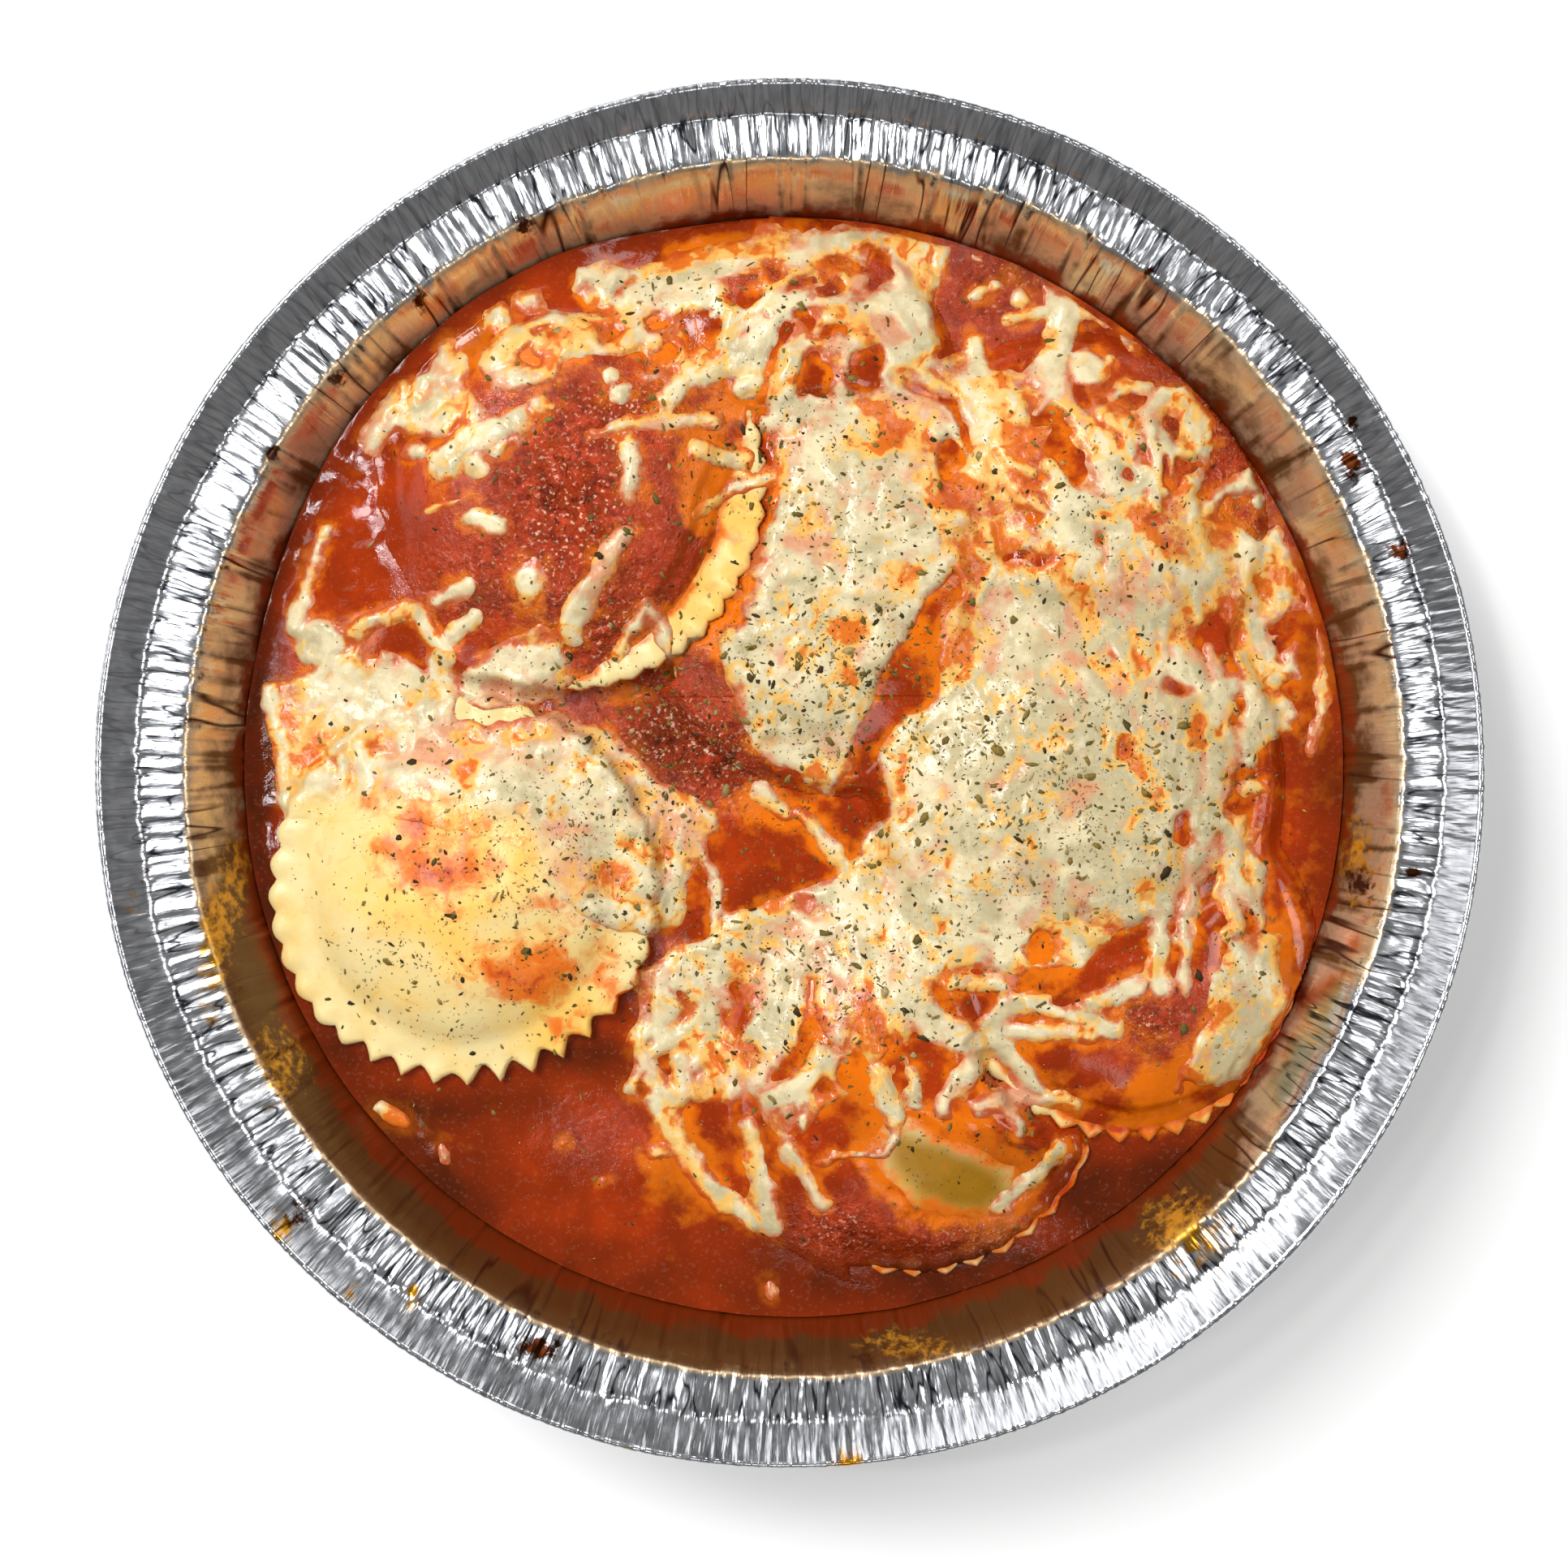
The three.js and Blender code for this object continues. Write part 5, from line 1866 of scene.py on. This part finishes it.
    def build_coats(self) -> None:
        """The sauce that lies on the pasta, in two pieces."""
        food, grid = self.food, self.food.grid
        over_pool = food.sauce_top - food.pool
        over_pasta = food.sauce_top - np.maximum(food.pasta_top, HIDDEN_LEVEL)
        seen = (over_pool > 0.02) & (over_pasta > -0.5) & (food.inside < 2.4)
        seen = seen & (grid.radius < FOOD_REACH - 0.5)
        upper = food.sauce_top - 0.12 * smooth_step(0.05, 0.0, over_pool)
        lower = np.minimum(upper - 0.4, np.maximum(food.pasta_top, SAUCE_LEVEL - 2) - 0.7)
        slab = Slab(grid)
        overlap = smooth_step(self.seam_near - 0.2, self.seam_far, grid.y)
        halves = {
            "sauce_coat_far": (grid.y > self.seam_near, 0.0),
            "sauce_coat_near": (grid.y < self.seam_far, 0.2),
        }
        for name, (half, sunk) in halves.items():
            flat = slab.shape(seen & half)
            places = slab.fitted(flat, upper - sunk * overlap, lower)
            piece = Piece(name, Slot.SAUCE, self.sauce)
            piece.place(flat, self.in_pan(places), self.colour_traits(places))

    def build_cheese(self) -> None:
        """The melted cheese, in pieces that overlap a little under each other's edges."""
        food, grid = self.food, self.food.grid
        x, y = grid.x, grid.y
        wavy = 3 * food.warp.at(x, y, 25)
        left = -12.0 - x + wavy
        far = y - 38.0 + wavy
        near = -22.0 - y + wavy
        parts = {
            "melted_cheese_left": (np.minimum(left, -far), "cheese_2"),
            "melted_cheese_far": (far, "cheese_1"),
            "melted_cheese_near": (np.minimum(near, -left), "cheese_1"),
            "melted_cheese_right": (np.minimum(np.minimum(-near, -left), -far), "cheese_1"),
        }
        slab = Slab(grid)
        for name, (own, node) in parts.items():
            sunk = 0.12 * smooth_step(0, self.feather, -own)
            upper = food.cheese_top - sunk
            lower = np.minimum(upper - 0.35, food.near - 0.95)
            flat = slab.shape((food.inside > -0.75) & (own > -self.feather))
            places = slab.fitted(flat, upper, lower)
            piece = Piece(name, Slot.CHEESE, self.cheese, (node,))
            piece.place(flat, self.in_pan(places), self.cheese_traits(places))

    def cheese_traits(self, places: Array) -> dict[str, Array]:
        """The cheese's colour traits.

        Args:
            places: Places in the bowl's frame.

        Returns:
            The traits that the cheese's finish reads.
        """
        food, grid = self.food, self.food.grid
        x, y = places[:, 0], places[:, 1]
        hollow = grid.blur(food.cheese_top, 1.3) - food.cheese_top
        hollow = np.clip(grid.sample(hollow, x, y) / 0.3, -1, 1)
        inside = grid.sample(food.inside, x, y)
        veil = smooth_step(-0.7, 0.9, food.warp.layered(x + 12, y - 44, 10, 2))
        cover = grid.sample(food.cover, x, y)
        thin = np.maximum(smooth_step(0.9 + 1.6 * veil, 0.0, inside), smooth_step(0.62, 0.22, cover))
        thin = thin * (0.6 + 0.45 * veil)
        clouds = food.relief.layered(x + 33, y + 3, 11, 3)
        veins = np.abs(food.fine.layered(x - 20, y, 7, 3))
        patchy = smooth_step(-0.3, 0.8, clouds)
        seams = smooth_step(0.16, 0.0, veins) * smooth_step(-0.4, 0.5, clouds)
        between = smooth_step(0.95, 0.45, cover)
        valley = np.clip(0.45 * np.clip(hollow, 0, 1) + 0.75 * between, 0, 1)
        margin = smooth_step(5, 0.5, inside) * smooth_step(-0.2, 0.9, food.fine.layered(x, y + 15, 8, 2))
        oil = 0.7 * spot_field(x, y, Look.OIL) + valley * (0.2 + 0.8 * patchy) + 0.6 * seams
        oil = oil + 0.4 * margin + 0.24 * clouds - 0.06
        rosy = food.relief.layered(x - 60, y - 30, 14, 3)
        pink = 0.8 * spot_field(x, y, Look.PINK) + 0.4 * thin + 0.3 * rosy
        pink = pink + 0.6 * valley * (1 - 0.6 * patchy)
        traits = self.pasta_traits(x, y)
        traits["stain"] = spot_field(x, y, Look.STAIN)
        dough = grid.sample(food.dough, x, y)
        return traits | {
            "oil": np.clip(oil, 0, 1.3),
            "pink": np.clip(pink, 0, 1.1),
            "thin": np.clip(thin * (1 - dough), 0, 1),
            "dough": np.clip(1.15 * dough, 0, 1),
            "dull": np.clip(spot_field(x, y, Look.DULL), 0, 0.2),
        }


PLATE_SPACING = 4.0


def plates(count: int, sides: int) -> bmesh.types.BMesh:
    """A row of small closed plates, doubled until there are enough.

    Args:
        count: How many plates.
        sides: How many sides each has.

    Returns:
        The plates, of radius 1, from height 0 down to -1, a fixed spacing apart along x.
    """
    row = bmesh.new()
    bmesh.ops.create_circle(row, cap_ends=True, segments=sides, radius=1)
    thicken(row)
    made = 1
    while made < count:
        again = bmesh.ops.duplicate(row, geom=row.verts[:] + row.edges[:] + row.faces[:])
        moved = [part for part in again["geom"] if isinstance(part, bmesh.types.BMVert)]
        bmesh.ops.translate(row, verts=moved, vec=(made * PLATE_SPACING, 0, 0))
        made *= 2
    spare = [corner for corner in row.verts if corner.co.x > (count - 0.5) * PLATE_SPACING]
    bmesh.ops.delete(row, geom=spare, context="VERTS")
    return row


@dataclass(frozen=True)
class Flakes:
    """One kind of flake: how many, their least and greatest length, thickness and number of sides."""

    name: str
    count: int
    sizes: Point
    thick: float
    sides: int
    seed: int


@dataclass
class Scatter:
    """Dried herbs and pepper that lie on the food."""

    food: Food
    herbs: bpy.types.Material
    kinds: tuple[Flakes, ...] = (
        Flakes("herbs_large", 600, (0.9, 2.5), 0.1, 6, 101),
        Flakes("herbs_small", 3700, (0.4, 1.2), 0.08, 5, 103),
        Flakes("pepper_specks", 8200, (0.2, 0.52), 0.08, 4, 107),
    )
    slope_reach: float = 0.6

    def density(self, x: Array, y: Array) -> Array:
        """How thickly herbs lie, from 0 to 1."""
        spots = [
            Spot(10, 15, 20, 22, 1.0), Spot(48, -4, 30, 24, 0.9), Spot(-42, -14, 26, 16, 0.8),
            Spot(-18, 6, 14, 14, 0.9), Spot(5, -38, 30, 16, 0.75), Spot(0, 55, 26, 18, 0.5),
            Spot(-40, 14, 22, 8, 0.6), Spot(50, 45, 30, 18, 0.4), Spot(80, -42, 8, 14, 0.4),
            Spot(-60, -36, 24, 14, 0.45), Spot(-24, 84, 20, 10, 0.3), Spot(-38, 52, 22, 16, 0.25),
            Spot(28, -66, 16, 12, 0.3), Spot(-5, 80, 14, 8, 0.3),
        ]
        clumps = 0.75 + 0.5 * self.food.warp.at(x, y, 6)
        reach = smooth_step(97, 88, np.hypot(x, y))
        return np.clip((0.05 + spot_field(x, y, spots)) * clumps, 0, 1) * reach

    def places(self, count: int, seed: int) -> Array:
        """Draws places where herbs are likelier to lie.

        Args:
            count: How many.
            seed: What they are drawn from.

        Returns:
            Rows of x and y in the bowl's frame.
        """
        dice = np.random.default_rng(seed)
        tries = dice.uniform(-96, 96, (count * 14, 2))
        kept = dice.random(len(tries)) < self.density(tries[:, 0], tries[:, 1])
        return tries[kept][:count]

    def build(self, kind: Flakes) -> None:
        """One kind of flake, as a joined mesh of small cut plates that follow the food.

        Args:
            kind: Its sizes and number.
        """
        food, grid = self.food, self.food.grid
        spots = self.places(kind.count, kind.seed)
        dice = np.random.default_rng(kind.seed + 1)
        lengths = kind.sizes[0] + (kind.sizes[1] - kind.sizes[0]) * dice.random(len(spots)) ** 2
        slims = dice.uniform(0.16, 0.7, len(spots))
        turns = dice.uniform(0, TURN, len(spots))
        flakes = plates(len(spots), kind.sides)
        flat = shape_places(flakes)
        which = np.rint(flat[:, 0] / PLATE_SPACING).astype(int)
        along, aside = flat[:, 0] - which * PLATE_SPACING, flat[:, 1]
        corner = np.rint(np.arctan2(aside, along) / TURN * kind.sides).astype(int) % kind.sides
        jag = 1 + 0.4 * dice.uniform(-1, 1, (len(spots), kind.sides))[which, corner]
        along = along * jag * lengths[which] / 2
        aside = aside * jag * lengths[which] / 2 * slims[which]
        centre = spots[which]
        x = centre[:, 0] + along * np.cos(turns[which]) - aside * np.sin(turns[which])
        y = centre[:, 1] + along * np.sin(turns[which]) + aside * np.cos(turns[which])
        ahead = self.slope_reach
        base = grid.sample(food.shown, centre[:, 0], centre[:, 1])
        slope_x = (grid.sample(food.shown, centre[:, 0] + ahead, centre[:, 1]) - base) / ahead
        slope_y = (grid.sample(food.shown, centre[:, 0], centre[:, 1] + ahead) - base) / ahead
        tip_x = dice.normal(0, 0.16, len(spots))[which]
        tip_y = dice.normal(0, 0.16, len(spots))[which]
        lift = np.clip(slope_x, -1.2, 1.2) + tip_x, np.clip(slope_y, -1.2, 1.2) + tip_y
        height = base + lift[0] * (x - centre[:, 0]) + lift[1] * (y - centre[:, 1])
        height = height + np.where(flat[:, 2] > -0.5, kind.thick * 0.8, -kind.thick * 0.6)
        places = np.stack([x + BOWL_SHIFT[0], y + BOWL_SHIFT[1], height], axis=1)
        tone = dice.random(len(spots))[which]
        Piece(kind.name, Slot.HERBS, self.herbs).place(flakes, places, {"tone": tone})


@dataclass(frozen=True)
class Lamp:
    """A soft square light that faces the pan: its place and side in metres and its power in watts."""

    name: str
    place: tuple[float, float, float]
    side: float
    power: float


@dataclass
class Stage:
    """The camera that looks straight down, the soft lights and the pale floor."""

    eye: tuple[float, float, float] = (-0.00103, -0.00185, 0.370)
    lens: float = 44.26
    sensor: float = 36.0
    room_light: float = 0.22
    room_colour: tuple[float, float, float, float] = (1.0, 0.985, 0.96, 1.0)
    lit_point: tuple[float, float, float] = (0, 0, 0.03)
    lamps: tuple[Lamp, ...] = (
        Lamp("key", (-0.46, 0.42, 0.85), 0.3, 7.2),
        Lamp("glint", (-0.33, 0.17, 0.85), 0.055, 1.0),
        Lamp("left_glint", (-0.285, 0.045, 0.85), 0.05, 0.5),
        Lamp("far_right", (0.42, 0.44, 0.95), 0.3, 1.8),
        Lamp("right", (0.62, -0.12, 0.95), 0.3, 2.0),
        Lamp("left", (-0.62, -0.22, 0.95), 0.3, 1.4),
        Lamp("near", (0.05, -0.66, 0.95), 0.26, 0.9),
        Lamp("far_low", (-0.46, 1.1, 0.62), 0.8, 3.2),
        Lamp("left_low", (-1.15, 0.2, 0.5), 0.5, 1.3),
        Lamp("right_low", (0.8, 0.85, 0.6), 0.4, 0.7),
    )

    def build(self) -> None:
        """Sets up everything that isn't part of the object."""
        scene = bpy.context.scene
        scene.view_settings.view_transform = "Standard"
        self.add_camera(scene)
        self.add_floor()
        self.add_world(scene)
        for lamp in self.lamps:
            self.add_lamp(lamp)

    def add_camera(self, scene: bpy.types.Scene) -> None:
        """Puts the camera over the pan."""
        camera = bpy.data.cameras.new("camera")
        camera.lens = self.lens
        camera.sensor_width = self.sensor
        camera.clip_start = 0.01
        thing = bpy.data.objects.new("camera", camera)
        thing.location = self.eye
        scene.collection.objects.link(thing)
        scene.camera = thing

    def add_floor(self) -> None:
        """Lays the pale floor just under the pan."""
        shape = bmesh.new()
        bmesh.ops.create_grid(shape, x_segments=4, y_segments=4, size=3.0)
        mesh = bpy.data.meshes.new("floor")
        shape.to_mesh(mesh)
        shape.free()
        finish = Finish("pale_floor")
        finish.plain(Base_Color=Colour(246, 246, 246).linear(), Roughness=0.9, Specular_IOR_Level=0.1)
        mesh.materials.append(finish.material)
        mesh.transform(Matrix.Translation((0, 0, -0.0001)))
        floor = bpy.data.objects.new("floor", mesh)
        bpy.context.scene.collection.objects.link(floor)

    def add_world(self, scene: bpy.types.Scene) -> None:
        """Lights the room evenly."""
        world = bpy.data.worlds.new("soft_room")
        world.use_nodes = True
        backdrop = world.node_tree.nodes["Background"]
        backdrop.inputs["Color"].default_value = self.room_colour
        backdrop.inputs["Strength"].default_value = self.room_light
        scene.world = world

    def add_lamp(self, lamp: Lamp) -> None:
        """Hangs one light.

        Args:
            lamp: The light's place, size and power.
        """
        light = bpy.data.lights.new(lamp.name, "AREA")
        light.size = lamp.side
        light.energy = lamp.power
        thing = bpy.data.objects.new(lamp.name, light)
        thing.location = lamp.place
        to_pan = Vector(self.lit_point) - Vector(lamp.place)
        thing.rotation_euler = to_pan.to_track_quat("-Z", "Y").to_euler()
        bpy.context.scene.collection.objects.link(thing)


PASTA = [
    Ravioli(
        "ravioli_upper_left", -40.1, 49.1, 28.6, 35.6, 0.055, -0.01, 0.0, 1.3, 0.8, math.radians(-30), 46
    ),
    Ravioli("ravioli_right", 50.8, -2.2, 28.2, 33.6, -0.03, -0.01),
    Ravioli("ravioli_middle", 8.9, 32.5, 27.4, 34.3, 0.01, 0.015),
    Ravioli("ravioli_upper_right", 50, 43, 26.6, 31.5, -0.02, -0.02),
    Ravioli("ravioli_top", -5, 66, 26.2, 31, 0.02, -0.03, 0.0, 1.6, 0.8),
    Ravioli("ravioli_left", -58.9, -22.1, 26.8, 35.0, 0.03, 0.015, math.radians(1.5), 3.2, 1.5),
    Ravioli("ravioli_lower_right", 60, -36, 25.8, 31.4, -0.02, 0.02, math.radians(6.5), 2.5, 1.0),
    Ravioli("ravioli_bottom", 21.6, -58.4, 25.2, 33.0, 0.01, 0.02, 0.0, 1.7, 0.8),
]


def main() -> None:
    """Builds the pan, the meal and the stage in order."""
    logging.basicConfig(level=logging.INFO, format="%(message)s")
    pan = FoilPan()
    pan.build(FoilFinish().make())
    food = Food(Grid(), PASTA)
    sauce, pasta = SauceFinish().make(), PastaFinish().make()
    cheese, herbs = CheeseFinish().make(), HerbFinish().make()
    meal = Meal(food, sauce, pasta, cheese, herbs, pan)
    meal.build_pool()
    meal.build_pasta()
    meal.build_coats()
    meal.build_cheese()
    scatter = Scatter(food, herbs)
    for kind in scatter.kinds:
        scatter.build(kind)
    Stage().build()


if __name__ == "__main__":
    main()
